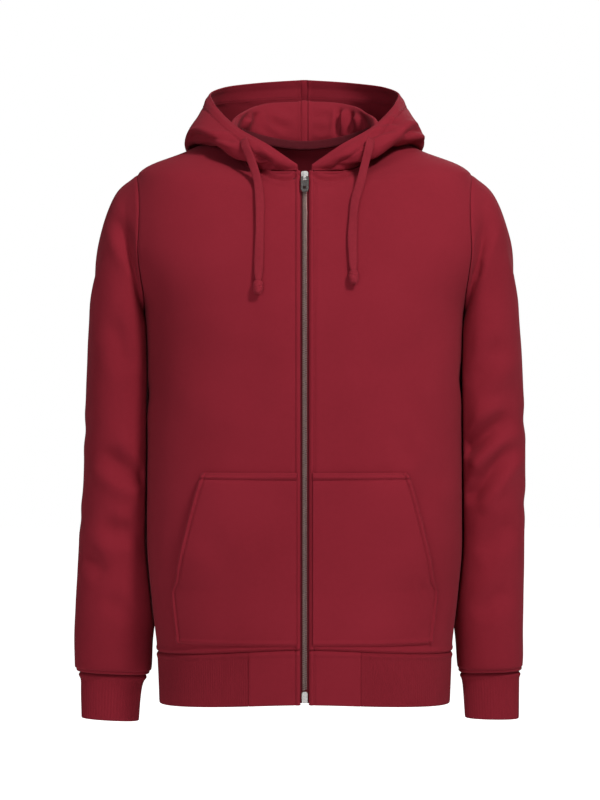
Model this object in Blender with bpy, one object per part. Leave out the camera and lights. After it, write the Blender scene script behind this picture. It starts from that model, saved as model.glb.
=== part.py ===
"""Zip up hoodie, filled out as worn, hood down. Metres, +Z up, front facing -Y.

The origin is at the neck: half way between front and back, at the height of the two points where
the shoulder seams meet the neckline. +X is the wearer's left.
"""
import math
from collections import namedtuple

import bmesh
import bpy
from mathutils import Matrix, Vector
from mathutils.bvhtree import BVHTree

# Driving sizes
CLOTH = 0.002               # thickness of the fleece
RIB = 0.0026                # thickness of the folded rib of cuffs and hem
GAP = 0.0003                # left open at every seam
ZIP_HALF_GAP = 0.0055       # from the centre line to the edge of each front
HEM_BLOCK_WIDTH = 0.070     # plain block that ends the hem band beside the zip
HOOD_FRONT_ANGLE = 5.2      # degrees round the neck at which the hood starts

# Rings round the body, from the foot of the hem band to the neckline. Each has its height at the
# front, side and back, its half width, its depth each way from the centre, how square it is
# (2 is an ellipse), and how late its front rises to the height of its side (2 is evenly).
Ring = namedtuple("Ring", "name front side back half_width front_depth back_depth square late")
BODY_RINGS = [
    Ring("hem_foot", -0.7225, -0.7296, -0.728, 0.1856, 0.120, 0.116, 2.5, 2),
    Ring("hem_seam", -0.6555, -0.6656, -0.664, 0.1880, 0.124, 0.119, 2.5, 2),
    Ring("hip", -0.598, -0.600, -0.600, 0.1949, 0.130, 0.122, 2.5, 2),
    Ring("low_waist", -0.520, -0.520, -0.520, 0.2010, 0.134, 0.125, 2.5, 2),
    Ring("waist", -0.420, -0.420, -0.420, 0.2006, 0.138, 0.128, 2.5, 2),
    Ring("rib_cage", -0.320, -0.320, -0.320, 0.2000, 0.143, 0.133, 2.5, 2),
    Ring("underarm", -0.240, -0.235, -0.238, 0.2035, 0.146, 0.138, 2.5, 2),
    Ring("mid_armhole", -0.168, -0.146, -0.160, 0.2360, 0.140, 0.140, 2.5, 2),
    Ring("shoulder", -0.106, -0.058, -0.094, 0.2130, 0.124, 0.133, 2.4, 2),
    Ring("half_shoulder", -0.080, -0.0275, -0.053, 0.1500, 0.112, 0.109, 2.3, 3),
    Ring("neckline", -0.0595, 0.000, -0.013, 0.0880, 0.101, 0.078, 2.1, 6),
]
HEM_SEAM, UNDERARM, SHOULDER, NECKLINE = 1, 6, 8, 10
ARMHOLE_TURN = 21.5         # degrees that the armhole reaches in front of and behind the side seam
ARMHOLE_STEPS = 9           # faces down each half of the armhole

# Rings down a sleeve: its outer and its inner point in the front view, its half depth, how far
# forward it hangs, and how square it is. The first is the armhole, whose points the body gives.
SleeveRing = namedtuple("SleeveRing", "outer_x outer_z inner_x inner_z half_depth forward square")
UPPER_SLEEVE = [
    SleeveRing(0.2130, -0.0580, 0.2030, -0.2350, 0.0660, 0.000, 2.1),
    SleeveRing(0.2387, -0.0793, 0.2035, -0.2400, 0.0700, 0.000, 2.1),
    SleeveRing(0.2555, -0.1151, 0.2000, -0.2469, 0.0720, -0.002, 2.2),
    SleeveRing(0.2672, -0.1661, 0.1950, -0.2619, 0.0730, -0.005, 2.2),
    SleeveRing(0.2738, -0.2246, 0.1925, -0.2848, 0.0725, -0.009, 2.2),
    SleeveRing(0.2782, -0.2847, 0.1895, -0.3149, 0.0710, -0.013, 2.2),
    SleeveRing(0.2818, -0.3581, 0.1885, -0.3681, 0.0680, -0.018, 2.2),
    SleeveRing(0.2844, -0.4509, 0.1890, -0.4529, 0.0620, -0.022, 2.2),
]
# The two sleeves hang a little differently below the elbow: the wearer's right is fuller
LOWER_SLEEVE = {
    "left": [
        SleeveRing(0.2835, -0.5217, 0.1933, -0.5217, 0.0570, -0.024, 2.2),
        SleeveRing(0.2818, -0.6026, 0.1899, -0.6026, 0.0500, -0.024, 2.2),
        SleeveRing(0.2813, -0.6531, 0.1944, -0.6551, 0.0440, -0.024, 2.2),
        SleeveRing(0.2808, -0.6864, 0.1970, -0.6884, 0.0370, -0.024, 2.2),
        SleeveRing(0.2773, -0.6940, 0.2005, -0.6960, 0.0290, -0.024, 2.2),
    ],
    "right": [
        SleeveRing(0.2901, -0.5217, 0.1933, -0.5217, 0.0560, -0.024, 2.2),
        SleeveRing(0.2954, -0.6026, 0.1899, -0.6026, 0.0480, -0.024, 2.2),
        SleeveRing(0.2967, -0.6531, 0.1949, -0.6551, 0.0410, -0.024, 2.2),
        SleeveRing(0.2959, -0.6874, 0.1970, -0.6914, 0.0340, -0.024, 2.2),
        SleeveRing(0.2904, -0.6950, 0.2030, -0.6990, 0.0270, -0.024, 2.2),
    ],
}
CUFF = {
    "left": [
        SleeveRing(0.2773, -0.6943, 0.2005, -0.6963, 0.0265, -0.024, 2.2),
        SleeveRing(0.2762, -0.7086, 0.2035, -0.7106, 0.0255, -0.024, 2.2),
        SleeveRing(0.2760, -0.7541, 0.2062, -0.7530, 0.0255, -0.024, 2.2),
    ],
    "right": [
        SleeveRing(0.2904, -0.6953, 0.2030, -0.6993, 0.0245, -0.024, 2.2),
        SleeveRing(0.2879, -0.7106, 0.2091, -0.7147, 0.0240, -0.024, 2.2),
        SleeveRing(0.2877, -0.7530, 0.2131, -0.7571, 0.0240, -0.024, 2.2),
    ],
}
SHELL_ROWS = 100            # of the body's surface that the sleeves and the hood rest on
BESIDE_BODY = 0.0005        # a point further than this from straight out of a face is past its edge
SLEEVE_ROWS = 14
SLEEVE_REST = 0.0024        # from the sleeve's outer face to the body beside it
SLEEVE_FIRST_REST = 0.0006  # the same at the first row after the armhole, and what each row adds

# Sections of one half of the hood, each through five points after the neck seam: a little way up,
# the ridge where the cloth turns over, the bottom of the roll or pouch, the fullest point of its
# outside, and the rim round the face. In front, where nothing turns over, they close up.
HoodSection = namedtuple("HoodSection", "angle rise ridge bottom full rim")
HOOD_SECTIONS = [
    HoodSection(5.2, (0.0093, -0.1012, -0.0568), (0.0094, -0.1017, -0.0559),
                (0.0095, -0.1021, -0.0551), (0.0096, -0.1024, -0.0543), (0.0097, -0.1027, -0.0532)),
    HoodSection(25, (0.0430, -0.0932, -0.0560), (0.0440, -0.0965, -0.0530),
                (0.0450, -0.1010, -0.0500), (0.0455, -0.1035, -0.0430), (0.0430, -0.0980, -0.0300)),
    HoodSection(50, (0.0710, -0.0630, -0.0430), (0.0760, -0.0700, -0.0400),
                (0.0850, -0.0900, -0.0440), (0.0930, -0.0930, -0.0300), (0.0880, -0.0580, 0.0000)),
    HoodSection(75, (0.0860, -0.0230, -0.0020), (0.0880, -0.0220, 0.0060),
                (0.1150, -0.0560, -0.0240), (0.1300, -0.0560, -0.0130), (0.1160, 0.0020, 0.0340)),
    HoodSection(105, (0.0830, 0.0230, 0.0120), (0.0760, 0.0420, 0.0270),
                (0.1330, 0.0450, -0.0250), (0.1505, 0.0250, -0.0225), (0.1229, 0.0580, 0.0519)),
    HoodSection(130, (0.0670, 0.0530, 0.0120), (0.0630, 0.0730, 0.0360),
                (0.1150, 0.1250, -0.0620), (0.1460, 0.1240, -0.0280), (0.1048, 0.1150, 0.0670)),
    HoodSection(155, (0.0400, 0.0740, 0.0100), (0.0400, 0.0915, 0.0415),
                (0.0680, 0.1530, -0.1080), (0.0880, 0.1820, -0.0480), (0.0592, 0.1550, 0.0771)),
    HoodSection(180, (0.0000, 0.0820, 0.0110), (0.0000, 0.0970, 0.0430),
                (0.0000, 0.1600, -0.1220), (0.0000, 0.1930, -0.0500), (0.0000, 0.1700, 0.0825)),
]
HOOD_COLUMNS = 15
HOOD_ROWS = 14
HOOD_REST = 0.0052          # from the middle of the hood's cloth to the body it lies on
HOOD_FIRST_REST = 0.0014    # the same at the first row after the seam, and what each row adds

# Kangaroo pocket halves, on the fronts: the depth of each level and its outer edge
PocketLevel = namedtuple("PocketLevel", "height outer_x mouth")
POCKET_LEVELS = [
    PocketLevel(-0.4360, 0.1260, 0.0),
    PocketLevel(-0.4450, 0.1285, 0.55),
    PocketLevel(-0.4700, 0.1350, 0.95),
    PocketLevel(-0.5050, 0.1435, 1.0),
    PocketLevel(-0.5400, 0.1515, 0.9),
    PocketLevel(-0.5720, 0.1590, 0.3),
    PocketLevel(-0.5840, 0.1655, 0.0),
    PocketLevel(-0.6150, 0.1625, 0.0),
    PocketLevel(-0.6480, 0.1585, 0.0),
]
POCKET_COLUMNS = 9
POCKET_CENTRE_X = 0.0100
POCKET_GAP = 0.0008
POCKET_FULLNESS = 0.005     # how far the pocket stands off the front at its mouth

# Zip
TAPE_THICKNESS = 0.001
TAPE_HALF_WIDTH = 0.0140
CHAIN_HALF_WIDTH = 0.0032
CHAIN_THICKNESS = 0.0022
ZIP_TOP = 9.94              # the zip's ends, on the scale of the body's rings
ZIP_FOOT = 0.02
SLIDER_TOP = -0.0610
SLIDER_LENGTH = 0.0135
SLIDER_HALF_WIDTH = 0.0046
SLIDER_THICKNESS = 0.0046
SLIDER_LIFT = 0.0020        # of its face above the faces of the fronts
BAIL_WIDTH = 0.0030
BAIL_LENGTH = 0.0095
BAIL_BAR = 0.0011
BAIL_FOOT = 0.0012
BAIL_WINDOW = 0.0024        # height of the space under the bail
PULL_LENGTH = 0.0215
PULL_HALF_WIDTH = 0.0050
PULL_THICKNESS = 0.0012
PULL_BAR_RADIUS = 0.00075   # the round bar that turns under the bail
PULL_EYE_HALF_WIDTH = 0.0024
PULL_EYE_LENGTH = 0.0068
PULL_TILT = 3.5             # degrees that it leans in from the zip's line, to rest on the slider
BOX_LENGTH = 0.0150
BOX_HALF_WIDTH = 0.0036
BOX_THICKNESS = 0.0040
BOX_LIFT = 0.0012

# Drawcords, from where each leaves the hood's tunnel to its knot
CORD_RADIUS = 0.0027
CORD_ROUTES = {
    "left": [
        (0.0828, -0.0968, -0.0207), (0.0800, -0.1040, -0.0320), (0.0764, -0.1070, -0.0461),
        (0.0688, -0.1168, -0.0767), (0.0620, -0.1277, -0.1000), (0.0595, -0.1345, -0.1240),
        (0.0586, -0.1393, -0.1459), (0.0592, -0.1430, -0.1700), (0.0597, -0.1464, -0.1880),
    ],
    "right": [
        (-0.0766, -0.0986, -0.0219), (-0.0730, -0.1066, -0.0320), (-0.0685, -0.1087, -0.0430),
        (-0.0589, -0.1160, -0.0718), (-0.0555, -0.1274, -0.1000), (-0.0553, -0.1351, -0.1270),
        (-0.0561, -0.1408, -0.1560), (-0.0568, -0.1444, -0.1800), (-0.0573, -0.1480, -0.2003),
    ],
}
CORD_POINTS = 26
KNOT_RADIUS = 0.0068
KNOT_LENGTH = 0.0120
KNOT_TAIL = 0.0060

COLOURS = {
    "fleece": (0.235, 0.020, 0.032, 1.0),
    "rib": (0.215, 0.017, 0.028, 1.0),
    "tape": (0.150, 0.020, 0.028, 1.0),
    "cord": (0.245, 0.022, 0.036, 1.0),
    "gunmetal": (0.090, 0.075, 0.072, 1.0),
    "nickel": (0.560, 0.550, 0.540, 1.0),
}
ROUGHNESS = {"fleece": 0.9, "rib": 0.9, "tape": 0.85, "cord": 0.85, "gunmetal": 0.45, "nickel": 0.3}
METALS = ("gunmetal", "nickel")


def clear_scene():
    for old in list(bpy.data.objects):
        bpy.data.objects.remove(old, do_unlink=True)


def finish_of(piece_name, finish):
    """A material of its own for one piece."""
    material = bpy.data.materials.new(f"{piece_name}_{finish}")
    material.use_nodes = True
    shader = material.node_tree.nodes["Principled BSDF"]
    shader.inputs["Base Color"].default_value = COLOURS[finish]
    shader.inputs["Roughness"].default_value = ROUGHNESS[finish]
    shader.inputs["Metallic"].default_value = 1.0 if finish in METALS else 0.0
    return material


def smooth_through(stations, values, at):
    """The value at one station on a smooth curve that never overshoots its values."""
    last = len(stations) - 1
    slopes = [(values[i + 1] - values[i]) / (stations[i + 1] - stations[i]) for i in range(last)]
    tangents = [slopes[0]]
    for i in range(1, last):
        same_way = slopes[i - 1] * slopes[i] > 0
        tangents.append(2 * slopes[i - 1] * slopes[i] / (slopes[i - 1] + slopes[i]) if same_way else 0.0)
    tangents.append(slopes[-1])
    i = 0
    while i < last - 1 and at > stations[i + 1]:
        i += 1
    step = stations[i + 1] - stations[i]
    t = (at - stations[i]) / step
    return ((1 + 2 * t) * (1 - t) ** 2 * values[i] + t * (1 - t) ** 2 * step * tangents[i]
            + t * t * (3 - 2 * t) * values[i + 1] + t * t * (t - 1) * step * tangents[i + 1])


def curve_through(points, fractions):
    """Points at these fractions of the chord length of a smooth curve through the given points."""
    distances = [0.0]
    for a, b in zip(points, points[1:]):
        distances.append(distances[-1] + (b - a).length)
    result = []
    for fraction in fractions:
        at = fraction * distances[-1]
        i = max(k for k in range(len(points) - 1) if distances[k] <= at + 1e-12)
        step = distances[i + 1] - distances[i]
        t = (at - distances[i]) / step

        def tangent(k):
            if k == 0:
                return (points[1] - points[0]) / (distances[1] - distances[0])
            if k == len(points) - 1:
                return (points[-1] - points[-2]) / (distances[-1] - distances[-2])
            before = (points[k] - points[k - 1]) / (distances[k] - distances[k - 1])
            after = (points[k + 1] - points[k]) / (distances[k + 1] - distances[k])
            share = (distances[k] - distances[k - 1]) / (distances[k + 1] - distances[k - 1])
            return before.lerp(after, share)

        result.append(points[i] * ((1 + 2 * t) * (1 - t) ** 2) + tangent(i) * (t * (1 - t) ** 2 * step)
                      + points[i + 1] * (t * t * (3 - 2 * t)) + tangent(i + 1) * (t * t * (t - 1) * step))
    return result


# Body surface

def body_size(level, column):
    """One column of the body's rings at a level, 0 at the hem's foot to 10 at the neckline."""
    return smooth_through(range(len(BODY_RINGS)), [getattr(ring, column) for ring in BODY_RINGS], level)


def body_point(angle, level):
    """A point of the body's outer surface: angle 0 is centre front, 90 the wearer's left."""
    turn = math.radians(angle)
    across, along = math.sin(turn), math.cos(turn)
    depth = body_size(level, "front_depth" if along > 0 else "back_depth")
    power = body_size(level, "square")
    reach = (abs(across / body_size(level, "half_width")) ** power + abs(along / depth) ** power) ** (-1 / power)
    side = body_size(level, "side")
    end = body_size(level, "front" if along > 0 else "back")
    late = body_size(level, "late") if along > 0 else 2
    return Vector((reach * across, -reach * along, side + (end - side) * (1 - abs(across) ** late)))


def body_normal(angle, level):
    """The outward direction at a point of the body's surface."""
    small_turn, small_rise = 0.05, 0.002
    low, high = max(level - small_rise, 0), min(level + small_rise, NECKLINE)
    round_body = body_point(angle + small_turn, level) - body_point(angle - small_turn, level)
    up_body = body_point(angle, high) - body_point(angle, low)
    return round_body.cross(up_body).normalized()


def angle_at(distance, level):
    """The angle at which the body's front is this far from the centre line."""
    angle = 0.0
    for _ in range(40):
        point = body_point(angle, level)
        angle += math.degrees((distance - point.x) / 0.2)
    return angle


def front_at(across, height):
    """Angle and level of the point of the body's front at this place in the front view."""
    level = 4.0
    for _ in range(60):
        angle = angle_at(across, level)
        level += (height - body_point(angle, level).z) * 8
    return angle, level


def side_angle(level):
    """Where a front meets the side seam, the armhole or the shoulder seam."""
    if UNDERARM < level < SHOULDER:
        down = (level - UNDERARM) / (SHOULDER - UNDERARM)
        return 90 - ARMHOLE_TURN * math.sqrt(4 * down * (1 - down))
    return 90.0


def body_levels():
    """The levels of the rows of the fronts and back, closer where the armhole turns."""
    below = [HEM_SEAM, 1.25, 1.5, 1.75, 2, 3, 4, 5, 5.6]
    armhole = [UNDERARM + (SHOULDER - UNDERARM) * (1 - math.cos(math.pi * k / ARMHOLE_STEPS)) / 2
               for k in range(ARMHOLE_STEPS + 1)]
    above = [8.5, 9, 9.5, NECKLINE]
    return below + armhole + above


# Solids

def add_piece(name, vertices, triangles, finish):
    mesh = bpy.data.meshes.new(name)
    mesh.from_pydata([tuple(v) for v in vertices], [], triangles)
    work = bmesh.new()
    work.from_mesh(mesh)
    bmesh.ops.recalc_face_normals(work, faces=work.faces)
    work.to_mesh(mesh)
    work.free()
    mesh.shade_smooth()
    mesh.set_sharp_from_angle(angle=math.radians(50))
    piece = bpy.data.objects.new(name, mesh)
    bpy.context.scene.collection.objects.link(piece)
    mesh.materials.append(finish_of(name, finish))
    return piece


def cloth_wall(name, outer, normals, thickness, finish, closed=False):
    """A wall of cloth: a grid of outer points, and the same points moved in along the normals.

    closed joins the last column to the first, as on a tube.
    """
    rows, columns = len(outer), len(outer[0])
    vertices = [p for row in outer for p in row]
    vertices += [p - n * thickness for row, turned in zip(outer, normals) for p, n in zip(row, turned)]
    inside = rows * columns

    def at(row, column):
        return row * columns + column % columns

    triangles = []

    def add_quad(a, b, c, d):
        triangles.append((a, b, c))
        triangles.append((a, c, d))

    across = columns if closed else columns - 1
    for row in range(rows - 1):
        for column in range(across):
            corners = [at(row, column), at(row, column + 1), at(row + 1, column + 1), at(row + 1, column)]
            first, second = (vertices[corners[2]] - vertices[corners[0]], vertices[corners[3]] - vertices[corners[1]])
            if second.length < first.length - 1e-6:
                corners = corners[1:] + corners[:1]
            add_quad(*corners)
            a, b, c, d = (corner + inside for corner in corners)
            triangles.append((a, c, b))
            triangles.append((a, d, c))
    for column in range(across):
        a, b = at(0, column), at(0, column + 1)
        add_quad(b, a, a + inside, b + inside)
        a, b = at(rows - 1, column), at(rows - 1, column + 1)
        add_quad(a, b, b + inside, a + inside)
    if not closed:
        for row in range(rows - 1):
            a, b = at(row, 0), at(row + 1, 0)
            add_quad(a, b, b + inside, a + inside)
            a, b = at(row, columns - 1), at(row + 1, columns - 1)
            add_quad(b, a, a + inside, b + inside)
    return add_piece(name, vertices, triangles, finish)


def grid_normals(grid, closed=False):
    """The direction square to a grid of points at each of them."""
    rows, columns = len(grid), len(grid[0])
    normals = []
    for row in range(rows):
        line = []
        for column in range(columns):
            if closed:
                along = grid[row][(column + 1) % columns] - grid[row][column - 1]
            else:
                along = grid[row][min(column + 1, columns - 1)] - grid[row][max(column - 1, 0)]
            up = grid[min(row + 1, rows - 1)][column] - grid[max(row - 1, 0)][column]
            line.append(along.cross(up).normalized())
        normals.append(line)
    return normals


def seam_trim(angle, level):
    """The angle that takes half a seam's gap off a panel's edge."""
    return math.degrees(GAP / 2 / (body_point(angle, level) * Vector((1, 1, 0))).length)


def body_panel(name, levels, first_angle, last_angle, columns, thickness, finish, lift=0.0):
    """A panel of the body between two edges, each a function of the level that gives an angle."""
    outer, normals = [], []
    for level in levels:
        first, last = first_angle(level), last_angle(level)
        line, turned = [], []
        for column in range(columns + 1):
            angle = first + (last - first) * column / columns
            direction = body_normal(angle, level)
            line.append(body_point(angle, level) + direction * lift)
            turned.append(direction)
        outer.append(line)
        normals.append(turned)
    return cloth_wall(name, outer, normals, thickness, finish)


def make_body():
    levels = body_levels()
    levels[0] += 0.004
    levels[-1] -= 0.002
    body_panel("front_left", levels, lambda level: angle_at(ZIP_HALF_GAP, level),
               lambda level: side_angle(level) - seam_trim(90, level), 10, CLOTH, "fleece")
    body_panel("front_right", levels, lambda level: -side_angle(level) + seam_trim(90, level),
               lambda level: -angle_at(ZIP_HALF_GAP, level), 10, CLOTH, "fleece")
    body_panel("back", levels, lambda level: 180 - side_angle(level) + seam_trim(90, level),
               lambda level: 180 + side_angle(level) - seam_trim(90, level), 18, CLOTH, "fleece")


def make_hem():
    levels = [0, 0.33, 0.67, HEM_SEAM - 0.001]

    def block_edge(level):
        return angle_at(HEM_BLOCK_WIDTH, level)

    body_panel("hem_block_left", levels, lambda level: angle_at(ZIP_HALF_GAP, level),
               lambda level: block_edge(level) - seam_trim(30, level), 4, RIB, "fleece")
    body_panel("hem_block_right", levels, lambda level: -block_edge(level) + seam_trim(30, level),
               lambda level: -angle_at(ZIP_HALF_GAP, level), 4, RIB, "fleece")
    body_panel("hem_rib", levels, lambda level: block_edge(level) + seam_trim(30, level),
               lambda level: 360 - block_edge(level) - seam_trim(30, level), 30, RIB, "rib")


# Sleeves and cuffs

def sleeve_ring_points(ring, side, count):
    """Points round one ring of a sleeve, from its inner point forwards, as many each half."""
    outer = Vector((ring.outer_x, 0, ring.outer_z))
    inner = Vector((ring.inner_x, 0, ring.inner_z))
    centre, half = (outer + inner) / 2, (outer - inner) / 2
    points = []
    for step in range(2 * count):
        turn = math.pi * step / count
        across, along = -math.cos(turn), -math.sin(turn)
        reach = (abs(across) ** ring.square + abs(along) ** ring.square) ** (-1 / ring.square)
        point = centre + half * (reach * across)
        points.append(Vector((side * point.x, reach * along * ring.half_depth - ring.forward, point.z)))
    return points


def armhole_points(side):
    """Points and directions round the armhole, from the underarm up the front and down the back."""
    points, normals = [], []
    for step in range(2 * ARMHOLE_STEPS):
        rise = (1 - math.cos(math.pi * step / ARMHOLE_STEPS)) / 2
        level = UNDERARM + (SHOULDER - UNDERARM) * rise
        behind = step > ARMHOLE_STEPS
        angle = 180 - side_angle(level) if behind else side_angle(level)
        points.append(body_point(side * angle, level))
        normals.append(body_normal(side * angle, level))
    return points, normals


def ring_between(rings, at):
    stations = range(len(rings))
    return SleeveRing(*(smooth_through(stations, [ring[k] for ring in rings], at)
                        for k in range(len(SleeveRing._fields))))


def kept_off(point, shell, rest):
    """The point, moved straight out where it is nearer than this to the body or inside it."""
    nearest, outward, _, _ = shell.find_nearest(point)
    offset = point - nearest
    above = offset.dot(outward)
    over_body = (offset - outward * above).length < BESIDE_BODY
    return point + outward * (rest - above) if over_body and above < rest else point


def make_sleeve(hand, shell):
    side = 1 if hand == "left" else -1
    rings = UPPER_SLEEVE + LOWER_SLEEVE[hand]
    edge, edge_normals = armhole_points(side)
    last = len(rings) - 1
    rows = []
    for row in range(1, SLEEVE_ROWS + 1):
        at = last * row / SLEEVE_ROWS
        rest = min(SLEEVE_REST, SLEEVE_FIRST_REST * row)
        ring = sleeve_ring_points(ring_between(rings, at), side, ARMHOLE_STEPS)
        rows.append([kept_off(point, shell, rest) for point in ring])
    first = []
    for step, (point, outward) in enumerate(zip(edge, edge_normals)):
        along = edge[(step + 1) % len(edge)] - edge[step - 1]
        away = outward.cross(along).normalized() * -side
        first.append(point + (away + outward * 0.8) * GAP)
    rows.insert(0, first)
    if side < 0:
        rows = [list(reversed(row)) for row in rows]
    normals = grid_normals(rows, closed=True)
    centre = sum(rows[3], Vector()) / len(rows[3])
    if normals[3][0].dot(rows[3][0] - centre) < 0:
        normals = [[-n for n in row] for row in normals]
    return cloth_wall(f"sleeve_{hand}", rows, normals, CLOTH, "fleece", closed=True)


def make_cuff(hand):
    side = 1 if hand == "left" else -1
    rows = []
    for at in (0, 0.35, 1, 2):
        rows.append(sleeve_ring_points(ring_between(CUFF[hand], at), side, ARMHOLE_STEPS))
    centre = sum(rows[2], Vector()) / len(rows[2])
    normals = grid_normals(rows, closed=True)
    if normals[2][0].dot(rows[2][0] - centre) < 0:
        normals = [[-n for n in row] for row in normals]
    return cloth_wall(f"cuff_{hand}", rows, normals, RIB, "rib", closed=True)


# Hood

def hood_profile(angle):
    """The points after the neck seam of the hood's section at an angle round the neck."""
    stations = [section.angle for section in HOOD_SECTIONS]
    profile = []
    for name in HoodSection._fields[1:]:
        profile.append(Vector(tuple(
            smooth_through(stations, [getattr(section, name)[axis] for section in HOOD_SECTIONS], angle)
            for axis in range(3))))
    return profile


def body_shell():
    """The body's surface as a tree of faces, to keep the hood and the sleeves clear of it."""
    levels = [NECKLINE * row / SHELL_ROWS for row in range(SHELL_ROWS + 1)]
    angles = range(0, 361, 4)
    points = [body_point(angle, level) for level in levels for angle in angles]
    wide = len(angles)
    faces = []
    for row in range(len(levels) - 1):
        for column in range(wide - 1):
            start = row * wide + column
            faces.append((start, start + 1, start + wide + 1, start + wide))
    return BVHTree.FromPolygons(points, faces)


def make_hood(hand, shell):
    side = 1 if hand == "left" else -1
    columns = []
    seam_normals = []
    for column in range(HOOD_COLUMNS + 1):
        angle = HOOD_FRONT_ANGLE + (180 - HOOD_FRONT_ANGLE) * column / HOOD_COLUMNS
        edge = body_point(angle, NECKLINE)
        normal = body_normal(angle, NECKLINE)
        rise = (edge - body_point(angle, NECKLINE - 0.1)).normalized()
        start = edge - normal * (CLOTH / 2) + rise * (2 * GAP)
        fractions = [row / HOOD_ROWS for row in range(HOOD_ROWS + 1)]
        column_points = curve_through([start] + hood_profile(angle), fractions)
        for row in range(1, HOOD_ROWS + 1):
            column_points[row] = kept_off(column_points[row], shell, min(HOOD_REST, HOOD_FIRST_REST * row))
        columns.append(column_points)
        seam_normals.append(normal)
    for point in columns[-1]:
        point.x = GAP / 2
    rows = [[column[row] for column in columns] for row in range(HOOD_ROWS + 1)]
    normals = grid_normals(rows)
    normals[0] = seam_normals
    for line in normals:
        line[-1] = Vector((0, line[-1].y, line[-1].z)).normalized()
    rows = [[p + n * (CLOTH / 2) for p, n in zip(row, line)] for row, line in zip(rows, normals)]
    if side < 0:
        mirror = Vector((-1, 1, 1))
        rows = [[p * mirror for p in row] for row in rows]
        normals = [[n * mirror for n in line] for line in normals]
    return cloth_wall(f"hood_{hand}", rows, normals, CLOTH, "fleece")


def make_neck_tape():
    """The tape over the back neck seam, inside."""
    inset, half_height = 0.0036, 0.0052
    outer, normals = [], []
    for height in (-half_height, 0.0, half_height):
        line, turned = [], []
        for column in range(17):
            angle = 104 + (256 - 104) * column / 16
            edge = body_point(angle, NECKLINE)
            outward = Vector((edge.x, edge.y, 0)).normalized()
            line.append(edge - outward * inset + Vector((0, 0, height)))
            turned.append(outward)
        outer.append(line)
        normals.append(turned)
    return cloth_wall("neck_tape", outer, normals, TAPE_THICKNESS, "tape")


# Pockets

def make_pocket(hand):
    side = 1 if hand == "left" else -1
    outer, normals = [], []
    for level in POCKET_LEVELS:
        line, turned = [], []
        for column in range(POCKET_COLUMNS + 1):
            share = column / POCKET_COLUMNS
            across = POCKET_CENTRE_X + (level.outer_x - POCKET_CENTRE_X) * share
            angle, at = front_at(across, level.height)
            direction = body_normal(angle, at)
            stand = level.mouth * POCKET_FULLNESS * math.sin(math.pi / 2 * share) ** 2
            line.append(body_point(angle, at) + direction * (POCKET_GAP + CLOTH + stand))
            turned.append(direction)
        outer.append(line)
        normals.append(turned)
    if side < 0:
        mirror = Vector((-1, 1, 1))
        outer = [[p * mirror for p in line] for line in outer]
        normals = [[n * mirror for n in line] for line in normals]
    return cloth_wall(f"pocket_{hand}", outer, normals, CLOTH, "fleece")


# Zip

def zip_line(level):
    """A point of the zip's centre line, its outward direction and its direction up."""
    up = (body_point(0, min(level + 0.05, NECKLINE)) - body_point(0, max(level - 0.05, 0))).normalized()
    outward = Vector((0, -1, 0))
    outward = (outward - up * outward.dot(up)).normalized()
    return body_point(0, level), outward, up


def zip_strip(name, first_level, last_level, half_width, centre, depth, thickness, finish):
    """A strip along the zip, its front face this far behind the face of the fronts."""
    steps = 20
    outer, normals = [], []
    for step in range(steps + 1):
        level = first_level + (last_level - first_level) * step / steps
        point, outward, _ = zip_line(level)
        base = point - outward * depth
        outer.append([base + Vector((centre + reach, 0, 0)) for reach in (-half_width, half_width)])
        normals.append([outward, outward])
    return cloth_wall(name, outer, normals, thickness, finish)


def make_zip():
    tape_half = (TAPE_HALF_WIDTH - GAP / 2) / 2
    tape_centre = TAPE_HALF_WIDTH - tape_half
    tape_depth = RIB + 3 * GAP
    for hand, side in (("left", 1), ("right", -1)):
        zip_strip(f"zip_tape_{hand}", ZIP_FOOT, ZIP_TOP, tape_half, side * tape_centre, tape_depth,
                  TAPE_THICKNESS, "tape")
    slider_foot = front_at(0, SLIDER_TOP - SLIDER_LENGTH)[1]
    box_top = front_at(0, body_point(0, ZIP_FOOT).z + BOX_LENGTH)[1]
    zip_strip("zip_chain", box_top + 0.03, slider_foot - 0.12, CHAIN_HALF_WIDTH, 0,
              tape_depth - 2 * GAP - CHAIN_THICKNESS, CHAIN_THICKNESS, "gunmetal")


def extruded(outline, depth, bevel=0.0):
    """A mesh from a flat outline of points, extruded by a vector, with softened edges."""
    work = bmesh.new()
    face = work.faces.new([work.verts.new(corner) for corner in outline])
    raised = bmesh.ops.extrude_face_region(work, geom=[face])
    moved = [item for item in raised["geom"] if isinstance(item, bmesh.types.BMVert)]
    bmesh.ops.translate(work, verts=moved, vec=depth)
    bmesh.ops.recalc_face_normals(work, faces=work.faces)
    if bevel:
        bmesh.ops.bevel(work, geom=list(work.edges), offset=bevel, segments=2, profile=0.5, affect="EDGES")
    mesh = bpy.data.meshes.new("extruded")
    work.to_mesh(mesh)
    work.free()
    return mesh


def metal_piece(name, mesh, place, finish):
    mesh.name = name
    mesh.shade_smooth()
    mesh.set_sharp_from_angle(angle=math.radians(40))
    mesh.materials.append(finish_of(name, finish))
    piece = bpy.data.objects.new(name, mesh)
    piece.matrix_world = place
    bpy.context.scene.collection.objects.link(piece)
    return piece


def join_or_cut(target, name, mesh, place, operation):
    """Joins a hidden helper shape to a piece, or cuts it away."""
    helper = bpy.data.objects.new(name, mesh)
    helper.matrix_world = place
    helper.hide_render = True
    helper.display_type = "WIRE"
    bpy.context.scene.collection.objects.link(helper)
    change = target.modifiers.new(name, "BOOLEAN")
    change.operation = operation
    change.solver = "EXACT"
    change.object = helper


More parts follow.
